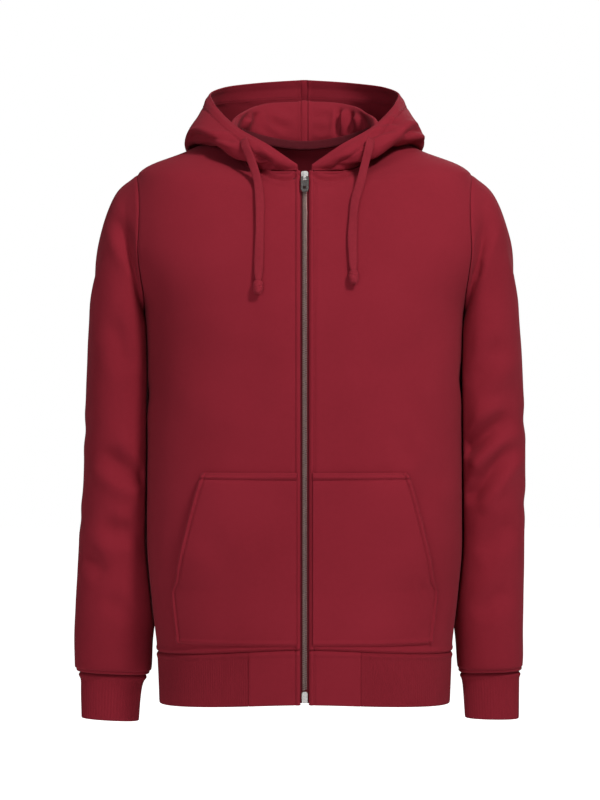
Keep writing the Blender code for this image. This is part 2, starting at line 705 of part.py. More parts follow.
def bar_along_x(radius, half_length, sides):
    """A round bar centred on its own origin, lying along X."""
    work = bmesh.new()
    bmesh.ops.create_cone(work, cap_ends=True, segments=sides, radius1=radius, radius2=radius,
                          depth=2 * half_length, matrix=Matrix.Rotation(math.pi / 2, 4, "Y"))
    mesh = bpy.data.meshes.new("bar")
    work.to_mesh(mesh)
    work.free()
    return mesh


def slot_cutter(half_width, low, high):
    """A block that cuts right through the pull between two heights."""
    reach = 0.003
    outline = [(-half_width, -reach, low), (half_width, -reach, low),
               (half_width, -reach, high), (-half_width, -reach, high)]
    return extruded(outline, (0, 2 * reach, 0))


def zip_frame(level, lift):
    """A placing whose Y goes into the garment and Z up the zip, this far out from its face."""
    point, outward, up = zip_line(level)
    frame = Matrix((Vector((1, 0, 0)), -outward, up)).transposed().to_4x4()
    frame.translation = point + outward * lift
    return frame


def mirrored(half_outline):
    """A closed outline from its right half, given from the bottom up."""
    return half_outline + [(-x, y, z) for x, y, z in reversed(half_outline)]


def make_slider():
    """The slider, and the bail on its face that holds the pull."""
    place = zip_frame(front_at(0, SLIDER_TOP - SLIDER_LENGTH / 2)[1], SLIDER_LIFT)
    half = SLIDER_LENGTH / 2
    outline = mirrored([(0.0034, 0, -half), (0.0042, 0, -half * 0.1), (SLIDER_HALF_WIDTH, 0, half * 0.45),
                        (SLIDER_HALF_WIDTH * 0.86, 0, half * 0.9), (0.0012, 0, half)])
    body = extruded(outline, (0, SLIDER_THICKNESS, 0), 0.0004)
    slider = metal_piece("zip_slider", body, place, "nickel")
    end, top, corner = BAIL_LENGTH / 2, BAIL_WINDOW + BAIL_BAR, 0.0008
    side_view = [(BAIL_FOOT, -end), (corner - top, -end), (-top, corner - end), (-top, end - corner),
                 (corner - top, end), (BAIL_FOOT, end), (BAIL_FOOT, end - BAIL_FOOT),
                 (-BAIL_WINDOW, end - BAIL_FOOT), (-BAIL_WINDOW, BAIL_FOOT - end), (BAIL_FOOT, BAIL_FOOT - end)]
    bail = extruded([(-BAIL_WIDTH / 2, y, z) for y, z in side_view], (BAIL_WIDTH, 0, 0))
    join_or_cut(slider, "bail", bail, place, "UNION")
    return place


def make_pull(slider_place):
    """The pull, whose round bar rests at the lower end of the space under the bail."""
    hang = slider_place.copy()
    bar_height = BAIL_FOOT - BAIL_LENGTH / 2 + PULL_BAR_RADIUS + GAP
    hang.translation = slider_place @ Vector((0, -BAIL_WINDOW / 2, bar_height))
    hang = hang @ Matrix.Rotation(math.radians(PULL_TILT), 4, "X")
    wide, length, front = PULL_HALF_WIDTH, PULL_LENGTH, -PULL_THICKNESS / 2
    outline = mirrored([(wide * 0.62, front, -length), (wide, front, -length * 0.84),
                        (wide * 0.94, front, -length * 0.55), (wide, front, -0.0012),
                        (wide * 0.8, front, PULL_BAR_RADIUS * 0.9)])
    plate = extruded(outline, (0, PULL_THICKNESS, 0), 0.0002)
    pull = metal_piece("zip_pull", plate, hang, "nickel")
    join_or_cut(pull, "pull_eye", slot_cutter(PULL_EYE_HALF_WIDTH, -PULL_EYE_LENGTH, 0.003), hang, "DIFFERENCE")
    bar = bar_along_x(PULL_BAR_RADIUS, wide * 0.75, 12)
    join_or_cut(pull, "pull_bar", bar, hang, "UNION")
    join_or_cut(pull, "pull_hole", slot_cutter(0.0021, -length * 0.82, -length * 0.62), hang, "DIFFERENCE")


def make_zip_box():
    middle = body_point(0, ZIP_FOOT).z + BOX_LENGTH / 2
    half = BOX_LENGTH / 2 - 0.0004
    outline = mirrored([(BOX_HALF_WIDTH, 0, -half), (BOX_HALF_WIDTH, 0, half * 0.7),
                        (BOX_HALF_WIDTH * 0.6, 0, half)])
    box = extruded(outline, (0, BOX_THICKNESS, 0), 0.0004)
    metal_piece("zip_box", box, zip_frame(front_at(0, middle)[1], BOX_LIFT), "nickel")


# Drawcords

def make_cord(hand):
    route = [Vector(point) for point in CORD_ROUTES[hand]]
    points = curve_through(route, [step / (CORD_POINTS - 1) for step in range(CORD_POINTS)])
    curve = bpy.data.curves.new(f"drawcord_{hand}", "CURVE")
    curve.dimensions = "3D"
    curve.bevel_depth = CORD_RADIUS
    curve.bevel_resolution = 2
    curve.use_fill_caps = True
    spline = curve.splines.new("POLY")
    spline.points.add(len(points) - 1)
    for target, point in zip(spline.points, points):
        target.co = (*point, 1.0)
    cord = bpy.data.objects.new(f"drawcord_{hand}", curve)
    bpy.context.scene.collection.objects.link(cord)
    curve.materials.append(finish_of(f"drawcord_{hand}", "cord"))

    # the overhand knot and the short tail below it, turned about the cord's last direction
    down = (points[-1] - points[-2]).normalized()
    start = points[-1] + down * GAP
    side = Vector((1, 0, 0))
    side = (side - down * side.dot(down)).normalized()
    front = down.cross(side)
    stations = [(0.0, 0.30), (0.10, 0.72), (0.30, 1.0), (0.60, 0.98), (0.85, 0.70), (1.0, 0.42)]
    rows = [(start + down * (KNOT_LENGTH * at), KNOT_RADIUS * size) for at, size in stations]
    end = start + down * KNOT_LENGTH
    rows += [(end + down * KNOT_TAIL * 0.5, KNOT_RADIUS * 0.44), (end + down * KNOT_TAIL, KNOT_RADIUS * 0.46)]
    sides = 12
    vertices = []
    for centre, radius in rows:
        for step in range(sides):
            turn = 2 * math.pi * step / sides
            vertices.append(centre + side * (radius * math.cos(turn)) + front * (0.8 * radius * math.sin(turn)))
    faces = [tuple(range(sides)), tuple(range(len(vertices) - 1, len(vertices) - 1 - sides, -1))]
    for row in range(len(rows) - 1):
        for step in range(sides):
            a, b = row * sides + step, row * sides + (step + 1) % sides
            faces.append((a, b, b + sides, a + sides))
    add_piece(f"knot_{hand}", vertices, faces, "cord")


def main():
    clear_scene()
    make_body()
    make_hem()
    shell = body_shell()
    for hand in ("left", "right"):
        make_sleeve(hand, shell)
        make_cuff(hand)
        make_hood(hand, shell)
        make_pocket(hand)
    make_neck_tape()
    make_zip()
    make_pull(make_slider())
    make_zip_box()
    for hand in ("left", "right"):
        make_cord(hand)


main()
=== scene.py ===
import math

import bmesh
import bpy
import numpy as np
from mathutils import Matrix, Vector
from mathutils.bvhtree import BVHTree


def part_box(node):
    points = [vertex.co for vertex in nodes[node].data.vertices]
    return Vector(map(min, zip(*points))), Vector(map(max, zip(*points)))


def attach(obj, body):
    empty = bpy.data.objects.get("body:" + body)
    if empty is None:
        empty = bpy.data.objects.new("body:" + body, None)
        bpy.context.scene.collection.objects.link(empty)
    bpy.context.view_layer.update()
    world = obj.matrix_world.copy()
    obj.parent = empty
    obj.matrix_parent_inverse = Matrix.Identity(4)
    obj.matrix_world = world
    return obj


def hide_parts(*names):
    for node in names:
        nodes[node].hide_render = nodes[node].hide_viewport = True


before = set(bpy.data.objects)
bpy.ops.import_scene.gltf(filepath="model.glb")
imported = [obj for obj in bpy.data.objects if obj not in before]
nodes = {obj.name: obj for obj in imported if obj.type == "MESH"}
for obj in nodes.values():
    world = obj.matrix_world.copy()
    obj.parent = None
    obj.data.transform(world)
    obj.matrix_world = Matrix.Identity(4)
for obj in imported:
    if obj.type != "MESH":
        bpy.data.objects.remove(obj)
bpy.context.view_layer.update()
mm = 0.001
handSide = {"left": 1, "right": -1}     # the wearer's left is +X

# the view
camera = {"place": (-0.0058, -3.6, -0.3456), "lens": 126.6, "sensor": 36.0}


def addObject(name, data):
    made = bpy.data.objects.new(name, data)
    bpy.context.scene.collection.objects.link(made)
    return made


def makeCamera():
    print("camera")
    data = bpy.data.cameras.new("camera")
    data.lens = camera["lens"]
    data.sensor_width = camera["sensor"]
    data.clip_end = 60
    seen = addObject("camera", data)
    seen.location = camera["place"]
    seen.rotation_euler = (math.pi / 2, 0, 0)
    bpy.context.scene.camera = seen


# shapes shared by every piece

# Values at stations on a smooth curve that never overshoots what it passes through
def smoothThrough(values, at, stations=None):
    values = np.asarray(values, float)
    stations = np.arange(len(values), dtype=float) if stations is None else np.asarray(stations, float)
    slopes = np.diff(values) / np.diff(stations)
    sameWay = slopes[:-1] * slopes[1:] > 0
    total = np.where(sameWay, slopes[:-1] + slopes[1:], 1.0)
    inner = np.where(sameWay, 2 * slopes[:-1] * slopes[1:] / total, 0.0)
    tangents = np.concatenate([slopes[:1], inner, slopes[-1:]])
    at = np.asarray(at, float)
    i = np.clip(np.searchsorted(stations, at, side="left") - 1, 0, len(values) - 2)
    step = stations[i + 1] - stations[i]
    t = (at - stations[i]) / step
    return ((1 + 2 * t) * (1 - t) ** 2 * values[i] + t * (1 - t) ** 2 * step * tangents[i]
            + t * t * (3 - 2 * t) * values[i + 1] + t * t * (t - 1) * step * tangents[i + 1])


# Points at these fractions of the chord length of a smooth curve through the given points
def curveThrough(points, fractions):
    points = np.asarray(points, float)
    chords = np.linalg.norm(np.diff(points, axis=0), axis=1)
    distances = np.concatenate([[0.0], np.cumsum(chords)])
    speeds = np.diff(points, axis=0) / chords[:, None]
    shares = (chords[:-1] / (chords[:-1] + chords[1:]))[:, None]
    middle = speeds[:-1] * (1 - shares) + speeds[1:] * shares
    tangents = np.concatenate([speeds[:1], middle, speeds[-1:]])
    at = np.asarray(fractions, float) * distances[-1]
    i = np.clip(np.searchsorted(distances, at + 1e-12, side="right") - 1, 0, len(chords) - 1)
    step = chords[i][:, None]
    t = ((at - distances[i]) / chords[i])[:, None]
    return (points[i] * ((1 + 2 * t) * (1 - t) ** 2) + tangents[i] * (t * (1 - t) ** 2 * step)
            + points[i + 1] * (t * t * (3 - 2 * t)) + tangents[i + 1] * (t * t * (t - 1) * step))


# How far along a line of points each one is
def runningLength(line):
    return np.concatenate([[0.0], np.cumsum(np.linalg.norm(np.diff(line, axis=0), axis=1))])


# The four-cornered faces of a grid of point numbers
def quadsOf(at):
    return np.stack([at[:-1, :-1], at[:-1, 1:], at[1:, 1:], at[1:, :-1]], -1).reshape(-1, 4)


# Each of those faces' corners in the cloth's own flat measure
def cornersOf(grain):
    return np.stack([grain[:-1, :-1], grain[:-1, 1:], grain[1:, 1:], grain[1:, :-1]], 2).reshape(-1, 4, 2)


def unit(vectors):
    return vectors / np.maximum(np.linalg.norm(vectors, axis=-1, keepdims=True), 1e-12)


def ease(values, low, high):
    t = np.clip((np.asarray(values, float) - low) / (high - low), 0, 1)
    return t * t * (3 - 2 * t)


# Fractions from 0 to 1 along a length, closer together near the ends where a seam's shape is
def seamStations(length, middleStep, low=True, high=True):
    edgeStep, edgeReach = 1.1 * mm, 11 * mm
    near = list(np.arange(0, edgeReach, edgeStep))
    start = near if low else [0.0]
    end = [length - d for d in reversed(near)] if high else [length]
    span = end[0] - start[-1]
    count = max(int(round(span / middleStep)), 2)
    inside = [start[-1] + span * k / count for k in range(1, count)]
    return np.array(start + inside + end) / length


# Directions square to a grid of points; rows run up the piece and columns round it
def gridNormals(grid, closed=False):
    if closed:
        along = np.roll(grid, -1, axis=1) - np.roll(grid, 1, axis=1)
    else:
        along = np.gradient(grid, axis=1)
    up = np.gradient(grid, axis=0)
    return unit(np.cross(along, up))


# How far each point of a grid is from each of the grid's edges, along the cloth
def edgeDistances(grid):
    up = np.linalg.norm(np.diff(grid, axis=0), axis=2)
    along = np.linalg.norm(np.diff(grid, axis=1), axis=2)
    bottom = np.concatenate([np.zeros((1, grid.shape[1])), np.cumsum(up, axis=0)])
    left = np.concatenate([np.zeros((grid.shape[0], 1)), np.cumsum(along, axis=1)], axis=1)
    return {"bottom": bottom, "top": bottom[-1:] - bottom, "left": left, "right": left[:, -1:] - left}


# The body: rings from the foot of the hem band to the neckline, as the frame's solids have them
ringFields = ("front", "side", "back", "halfWidth", "frontDepth", "backDepth", "square", "late")
bodyRings = [
    (-0.7225, -0.7296, -0.728, 0.1856, 0.120, 0.116, 2.5, 2),       # foot of the hem band
    (-0.6555, -0.6656, -0.664, 0.1880, 0.124, 0.119, 2.5, 2),       # hem seam
    (-0.598, -0.600, -0.600, 0.1949, 0.130, 0.122, 2.5, 2),
    (-0.520, -0.520, -0.520, 0.2010, 0.134, 0.125, 2.5, 2),
    (-0.420, -0.420, -0.420, 0.2006, 0.138, 0.128, 2.5, 2),
    (-0.320, -0.320, -0.320, 0.2000, 0.143, 0.133, 2.5, 2),
    (-0.240, -0.235, -0.238, 0.2035, 0.146, 0.138, 2.5, 2),         # underarm
    (-0.168, -0.146, -0.160, 0.2360, 0.140, 0.140, 2.5, 2),
    (-0.106, -0.058, -0.094, 0.2130, 0.124, 0.133, 2.4, 2),         # shoulder tip
    (-0.080, -0.0275, -0.053, 0.1500, 0.112, 0.109, 2.3, 3),
    (-0.0595, 0.000, -0.013, 0.0880, 0.101, 0.078, 2.1, 6),         # neckline
]
hemSeam, underarm, shoulder, neckline = 1, 6, 8, 10
cloth = {"fleece": 2.0 * mm, "rib": 2.6 * mm, "tape": 1.0 * mm, "gap": 0.15 * mm,
         "zipHalfGap": 5.5 * mm, "hemBlock": 70 * mm, "middleStep": 3.8 * mm}
armholeTurn = 21.5      # degrees that the armhole reaches in front of and behind the side seam


def bodySize(field, level):
    return smoothThrough([ring[ringFields.index(field)] for ring in bodyRings], level)


# A point of the body's outer surface: angle 0 is centre front, 90 the wearer's left
def bodyPoint(angle, level):
    angle, level = np.broadcast_arrays(np.asarray(angle, float), np.asarray(level, float))
    turn = np.radians(angle)
    across, along = np.sin(turn), np.cos(turn)
    ahead = along > 0
    depth = np.where(ahead, bodySize("frontDepth", level), bodySize("backDepth", level))
    power = bodySize("square", level)
    reach = (np.abs(across / bodySize("halfWidth", level)) ** power
             + np.abs(along / depth) ** power) ** (-1 / power)
    side = bodySize("side", level)
    end = np.where(ahead, bodySize("front", level), bodySize("back", level))
    late = np.where(ahead, bodySize("late", level), 2.0)
    height = side + (end - side) * (1 - np.abs(across) ** late)
    return np.stack([reach * across, -reach * along, height], -1)


def bodyNormal(angle, level):
    smallTurn, smallRise = 0.05, 0.002
    low, high = np.maximum(level - smallRise, 0), np.minimum(level + smallRise, neckline)
    roundBody = bodyPoint(angle + smallTurn, level) - bodyPoint(angle - smallTurn, level)
    upBody = bodyPoint(angle, high) - bodyPoint(angle, low)
    return unit(np.cross(roundBody, upBody))


# Angle and level of the places of the body's front at these distances and heights in the front view
def frontAt(across, height):
    across, height = np.broadcast_arrays(np.asarray(across, float), np.asarray(height, float))
    angle, level = np.zeros(across.shape), np.full(across.shape, 4.0)
    for _ in range(120):
        point = bodyPoint(angle, level)
        angle = angle + np.degrees((across - point[..., 0]) / 0.2)
        level = np.clip(level + (height - point[..., 2]) * 8, 0, neckline)
    return angle, level


# The body's surface as a tree of faces, which keeps the hood and the sleeves lying on it and not in it
def bodyShell():
    levels = np.linspace(0, neckline, 121)
    angles = np.arange(0, 361, 3)
    points = bodyPoint(angles[None, :], levels[:, None])
    rows, columns = points.shape[:2]
    quads = quadsOf(np.arange(rows * columns).reshape(rows, columns))
    return BVHTree.FromPolygons([tuple(p) for p in points.reshape(-1, 3)],
                                [tuple(int(i) for i in q) for q in quads])


shells = {}


# The rows of points, each moved straight out where it is nearer than its row's rest to the body
def keptOff(rows, rests):
    if "body" not in shells:
        shells["body"] = bodyShell()
    moved = rows.copy()
    for row, rest in enumerate(rests):
        for column in range(rows.shape[1]):
            point = Vector(rows[row, column])
            nearest, outward, _, _ = shells["body"].find_nearest(point)
            offset = point - nearest
            above = offset.dot(outward)
            if above < rest and (offset - outward * above).length < 0.5 * mm:
                moved[row, column] += np.array(outward) * (rest - above)
    return moved


def angleAt(distance, level):
    angle = np.zeros(np.shape(level))
    for _ in range(60):
        angle = angle + np.degrees((distance - bodyPoint(angle, level)[..., 0]) / 0.2)
    return angle


def sideAngle(level):
    level = np.asarray(level, float)
    down = np.clip((level - underarm) / (shoulder - underarm), 0, 1)
    return 90 - armholeTurn * np.sqrt(4 * down * (1 - down))


# Levels of a panel's rows, evenly spaced over the real length of its centre line
def bodyLevels(first, last, middleStep, angle):
    fine = np.linspace(first, last, 400)
    line = bodyPoint(angle, fine)
    length = runningLength(line)
    stations = seamStations(length[-1], middleStep) * length[-1]
    return np.interp(stations, length, fine)


# how cloth bends: seams draw its edges in, and creases are listed one by one

faceAxes = {"front": (0, 2, (0, -1, 0)), "back": (0, 2, (0, 1, 0)),
            "left": (1, 2, (1, 0, 0)), "right": (1, 2, (-1, 0, 0)), "top": (0, 1, (0, 0, 1))}


# A crease is a line on one face of the garment, as (across, height) points: x and z from the front
# or back, y and z from the wearer's left or right, x and y from the top. Width and depth are in
# millimetres, depth inwards and a negative one outwards; ridge is how high its banks rise, as a share.
def crease(face, width, depth, line, ridge=0.35, fadeIn=0.35, fadeOut=0.35, on=None):
    return {"face": face, "width": width * mm, "depth": depth * mm, "line": line, "ridge": ridge,
            "fadeIn": fadeIn, "fadeOut": fadeOut, "on": on}


def creaseShape(points, normals, fold):
    acrossAxis, upAxis, facing = faceAxes[fold["face"]]
    flat = points[..., (acrossAxis, upAxis)]
    line = curveThrough([(a, b, 0) for a, b in fold["line"]], np.linspace(0, 1, 17))[:, :2]
    nearest = np.full(flat.shape[:-1], 1e9)
    along = np.zeros(flat.shape[:-1])
    for k in range(len(line) - 1):
        run = line[k + 1] - line[k]
        t = np.clip(((flat - line[k]) @ run) / (run @ run), 0, 1)
        distance = np.linalg.norm(flat - line[k] - t[..., None] * run, axis=-1)
        closer = distance < nearest
        nearest = np.where(closer, distance, nearest)
        along = np.where(closer, (k + t) / (len(line) - 1), along)
    width = fold["width"]
    fade = ease(along, -0.02, fold["fadeIn"]) * ease(1 - along, -0.02, fold["fadeOut"])
    facingIt = ease(normals @ np.array(facing, float), 0.05, 0.45)
    trough = -np.exp(-(nearest / width) ** 2)
    banks = fold["ridge"] * np.exp(-((nearest - 1.9 * width) / (0.9 * width)) ** 2)
    return fold["depth"] * (trough + banks) * fade * facingIt


def withCreases(grid, normals, creases):
    moved = np.zeros(grid.shape[:-1])
    for fold in creases:
        moved = moved + creaseShape(grid, normals, fold)
    return moved


# What each kind of edge does to the cloth beside it, by the distance from the edge
edgeKinds = {
    "seam": {"sink": 1.7 * mm, "over": 1.6 * mm, "puff": 1.1 * mm, "at": 4 * mm, "spread": 3 * mm},
    "joined": {"sink": 0.7 * mm, "over": 1.2 * mm, "puff": 0.15 * mm, "at": 4 * mm, "spread": 3 * mm},
    "armhole": {"sink": 0.4 * mm, "over": 1.2 * mm, "puff": 0.25 * mm, "at": 5 * mm, "spread": 3 * mm},
    "topstitched": {"sink": 1.0 * mm, "over": 1.3 * mm, "puff": 0.8 * mm, "at": 3.2 * mm, "spread": 1.6 * mm,
                    "stitch": 1.0 * mm, "stitchAt": 6.5 * mm},
    "turned": {"sink": 0.5 * mm, "over": 1.0 * mm, "puff": 0.7 * mm, "at": 3 * mm, "spread": 1.8 * mm,
               "stitch": 1.1 * mm, "stitchAt": 6 * mm},
    "rim": {"sink": 0.4 * mm, "over": 1.2 * mm, "puff": 1.4 * mm, "at": 11 * mm, "spread": 6 * mm,
            "stitch": 1.6 * mm, "stitchAt": 24 * mm},
    "plain": {"sink": 0.0, "over": 1 * mm, "puff": 0.0, "at": 1 * mm, "spread": 1 * mm},
}


def edgeShape(distance, kind):
    k = edgeKinds[kind]
    height = -k["sink"] * np.exp(-(distance / k["over"]) ** 2)
    height = height + k["puff"] * np.exp(-((distance - k["at"]) / k["spread"]) ** 2)
    if "stitch" in k:
        height = height - k["stitch"] * np.exp(-((distance - k["stitchAt"]) / (1.3 * mm)) ** 2)
    return height


# A soft unevenness that no cloth is without: a few long waves, the same every time
def softWaves(points, depth, size, seed):
    chance = np.random.default_rng(seed)
    total = np.zeros(points.shape[:-1])
    for _ in range(7):
        direction = unit(chance.normal(size=3) * np.array([1.0, 1.0, 0.7]))
        length = size * chance.uniform(0.6, 1.6)
        total = total + np.sin(2 * math.pi * (points @ direction) / length + chance.uniform(0, 6.3))
    return depth * total / 7 * 1.6


# meshes

pieces = {}
sewnEdge = 0.1 * mm     # how far a wall's edge bulges where it is sewn; a free edge is half round


# The loops of points round a wall's edges, with which way is off the cloth and which points are free
def edgeLoops(outer, at, closed, freeEdges):
    rows, columns = outer.shape[:2]
    if closed:
        return [(at[0, :-1], outer[0] - outer[1], np.full(columns, "bottom" in freeEdges)),
                (at[-1, :-1][::-1], (outer[-1] - outer[-2])[::-1], np.full(columns, "top" in freeEdges))]
    ring = np.concatenate([at[0, :-1], at[:-1, -1], at[-1, :0:-1], at[:0:-1, 0]])
    off = np.zeros_like(outer)
    isFree = np.zeros((rows, columns), bool)
    for edge, line, nextLine in (("bottom", np.s_[0], np.s_[1]), ("top", np.s_[-1], np.s_[-2]),
                                 ("left", np.s_[:, 0], np.s_[:, 1]), ("right", np.s_[:, -1], np.s_[:, -2])):
        off[line] += unit(outer[line] - outer[nextLine])
        isFree[line] |= edge in freeEdges
    return [(ring, off.reshape(-1, 3)[ring], isFree.reshape(-1)[ring])]


# A wall of cloth: a grid of outer points, the same points moved in, and a rounded edge between
def clothWall(name, outer, normals, thickness, material, closed=False, grain=None, freeEdges=(),
              lengthAcross=None):
    rows, columns = outer.shape[:2]
    inner = outer - normals * thickness
    points = [outer.reshape(-1, 3), inner.reshape(-1, 3)]
    inside = rows * columns
    at = np.arange(inside).reshape(rows, columns)
    if grain is None:
        distances = edgeDistances(outer)
        grain = np.stack([distances["left"], distances["bottom"]], -1)
    if closed:
        at = np.concatenate([at, at[:, :1]], axis=1)
        girth = np.linalg.norm(outer[0] - np.roll(outer[0], 1, axis=0), axis=1).sum()
        around = lengthAcross or float(girth)
        grain = np.concatenate([grain, grain[:, :1] + np.array([around, 0.0])], axis=1)
    quads, corners = quadsOf(at), cornersOf(grain)
    faces = [quads, (quads + inside)[:, ::-1]]
    grains = [corners, corners[:, ::-1]]
    flatGrain = grain[:, :columns].reshape(-1, 2)
    count = 2 * inside
    for ring, off, isFree in edgeLoops(outer, at, closed, freeEdges):
        top, low = points[0][ring], points[1][ring]
        middle, half = (top + low) / 2, (top - low) / 2
        reach = np.where(isFree, thickness / 2, sewnEdge)[:, None]
        chain = [ring]
        for turn in (45, 90, 135):
            lean = math.radians(turn)
            points.append(middle + half * math.cos(lean) + unit(off) * reach * math.sin(lean))
            chain.append(np.arange(count, count + len(ring)))
            count += len(ring)
        chain.append(ring + inside)
        ringGrain = flatGrain[ring]
        for first, second in zip(chain, chain[1:]):
            nextFirst, nextSecond = np.roll(first, -1), np.roll(second, -1)
            faces.append(np.stack([nextFirst, first, second, nextSecond], -1))
            nextGrain = np.roll(ringGrain, -1, axis=0)
            grains.append(np.stack([nextGrain, ringGrain, ringGrain, nextGrain], 1))
    return makeMesh(name, np.concatenate(points), np.concatenate(faces), material, np.concatenate(grains))


def makeMesh(name, points, faces, material, grain):
    mesh = bpy.data.meshes.new(name)
    mesh.from_pydata([tuple(p) for p in points], [], [tuple(int(i) for i in f) for f in faces])
    layer = mesh.uv_layers.new(name="grain")
    layer.uv.foreach_set("vector", np.asarray(grain, np.float32).ravel())
    mesh.materials.append(material)
    mesh.shade_smooth()
    mesh.update()
    pieces[name] = addObject(name, mesh)
    return pieces[name]


# A tube or rod through rings of points, its two ends closed
def makeTube(name, rings, material):
    rows, sides = rings.shape[:2]
    at = np.arange(rows * sides).reshape(rows, sides)
    around = np.concatenate([at, at[:, :1]], axis=1)
    faces = quadsOf(around)
    lengths = runningLength(rings.mean(1))
    girth = runningLength(np.concatenate([rings[0], rings[0][:1]]))
    across, along = np.meshgrid(girth, lengths)
    cells = cornersOf(np.stack([across, along], -1))
    ends = [rings[0].mean(0), rings[-1].mean(0)]
    points = np.concatenate([rings.reshape(-1, 3), ends])
    base = rows * sides
    capLow = [(base, around[0, k + 1], around[0, k]) for k in range(sides)]
    capHigh = [(base + 1, around[-1, k], around[-1, k + 1]) for k in range(sides)]
    flat = np.concatenate([cells.reshape(-1, 2), np.zeros((6 * sides, 2))])
    piece = makeMesh(name, points, [*faces, *capLow, *capHigh], material, flat)
    work = bmesh.new()
    work.from_mesh(piece.data)
    bmesh.ops.recalc_face_normals(work, faces=work.faces)
    work.to_mesh(piece.data)
    work.free()
    return piece


# finishes

finishes = {
    "fleece": {"light": (0.300, 0.0215, 0.0370), "dark": (0.235, 0.0150, 0.0265), "roughness": 0.88,
               "sheen": 0.06, "stitch": 0.9 * mm, "relief": 0.16},
    "rib": {"light": (0.270, 0.0190, 0.0325), "dark": (0.205, 0.0130, 0.0230), "roughness": 0.88,
            "sheen": 0.05, "stitch": 0.8 * mm, "relief": 0.16},
    "tape": {"light": (0.150, 0.0180, 0.0270), "dark": (0.098, 0.0110, 0.0170), "roughness": 0.8,
             "sheen": 0.04, "stitch": 1.1 * mm, "relief": 0.25},
    "cord": {"light": (0.330, 0.0270, 0.0440), "dark": (0.220, 0.0150, 0.0260), "roughness": 0.8,
             "sheen": 0.06, "stitch": 1.5 * mm, "relief": 0.4},
    "thread": {"light": (0.255, 0.0230, 0.0370), "dark": (0.190, 0.0160, 0.0270), "roughness": 0.6,
               "sheen": 0.1, "stitch": 0.3 * mm, "relief": 0.2},
    "gunmetal": {"light": (0.400, 0.270, 0.250), "dark": (0.140, 0.095, 0.088),
                 "roughness": 0.42, "metallic": 1.0},
    "nickel": {"light": (0.950, 0.930, 0.920), "dark": (0.560, 0.530, 0.520),
               "roughness": 0.24, "metallic": 0.6},
    "steel": {"light": (0.400, 0.370, 0.360), "dark": (0.085, 0.075, 0.074),
              "roughness": 0.22, "metallic": 0.85},
}
# weaveShade is painted shade: how much the base colour darkens in the low hollows of the knit or weave
brushed = {"sheenRoughness": 0.5, "sheenTint": (1.0, 0.32, 0.38, 1.0), "gloss": 0.08, "fuzz": 1500.0,
           "height": 0.5 * mm, "weaveShade": 0.28, "toneShade": 0.72}


def newGroup(name, inputs, outputs):
    tree = bpy.data.node_groups.new(name, "ShaderNodeTree")
    for label, kind, value in inputs:
        socket = tree.interface.new_socket(label, in_out="INPUT", socket_type=kind)
        if value is not None:
            socket.default_value = value
    for label, kind in outputs:
        tree.interface.new_socket(label, in_out="OUTPUT", socket_type=kind)
    return tree, tree.nodes.new("NodeGroupInput"), tree.nodes.new("NodeGroupOutput")


def mathNode(tree, operation, first, second=None, third=None):
    node = tree.nodes.new("ShaderNodeMath")
    node.operation = operation
    for slot, value in enumerate((first, second, third)):
        if value is None:
            continue
        if isinstance(value, (int, float)):
            node.inputs[slot].default_value = value
        else:
            tree.links.new(value, node.inputs[slot])
    return node.outputs[0]


def noiseNode(tree, vector, scale, detail=2.0, roughness=0.5):
    node = tree.nodes.new("ShaderNodeTexNoise")
    node.inputs["Scale"].default_value = scale
    node.inputs["Detail"].default_value = detail
    node.inputs["Roughness"].default_value = roughness
    tree.links.new(vector, node.inputs["Vector"])
    return node.outputs["Fac"]


# The tone of cloth: long patches, flecks and the fine speckle of brushed yarn
def makeClothTone():
    tree, given, made = newGroup("clothTone", [("Place", "NodeSocketVector", None),
                                               ("Fleck", "NodeSocketFloat", 0.35)],
                                 [("Tone", "NodeSocketFloat")])
    patches = noiseNode(tree, given.outputs["Place"], 7.0, 3.0)
    flecks = noiseNode(tree, given.outputs["Place"], 160.0, 3.0, 0.65)
    speckle = noiseNode(tree, given.outputs["Place"], 1100.0, 1.0)
    yarn = mathNode(tree, "MULTIPLY", speckle, 0.4)
    fine = mathNode(tree, "ADD", mathNode(tree, "MULTIPLY", flecks, 0.6), yarn)
    low = mathNode(tree, "MULTIPLY", patches, mathNode(tree, "SUBTRACT", 1.0, given.outputs["Fleck"]))
    both = mathNode(tree, "MULTIPLY_ADD", fine, given.outputs["Fleck"], low)
    spread = tree.nodes.new("ShaderNodeMapRange")
    spread.inputs["From Min"].default_value = 0.34
    spread.inputs["From Max"].default_value = 0.66
    tree.links.new(both, spread.inputs["Value"])
    tree.links.new(spread.outputs["Result"], made.inputs["Tone"])
    return tree


# Places along and across the grain, counted in stitches
def stitchCells(tree, given):
    scaled = tree.nodes.new("ShaderNodeVectorMath")
    scaled.operation = "SCALE"
    tree.links.new(given.outputs["Grain"], scaled.inputs[0])
    tree.links.new(mathNode(tree, "DIVIDE", 1.0, given.outputs["Stitch"]), scaled.inputs["Scale"])
    parts = tree.nodes.new("ShaderNodeSeparateXYZ")
    tree.links.new(scaled.outputs[0], parts.inputs[0])
    return parts.outputs["X"], parts.outputs["Y"]


# Falls evenly from 1 to 0 and rises again over each whole step of a value
def toAndFro(tree, value):
    return mathNode(tree, "ABSOLUTE", mathNode(tree, "MULTIPLY_ADD", mathNode(tree, "FRACT", value), 2.0, -1.0))


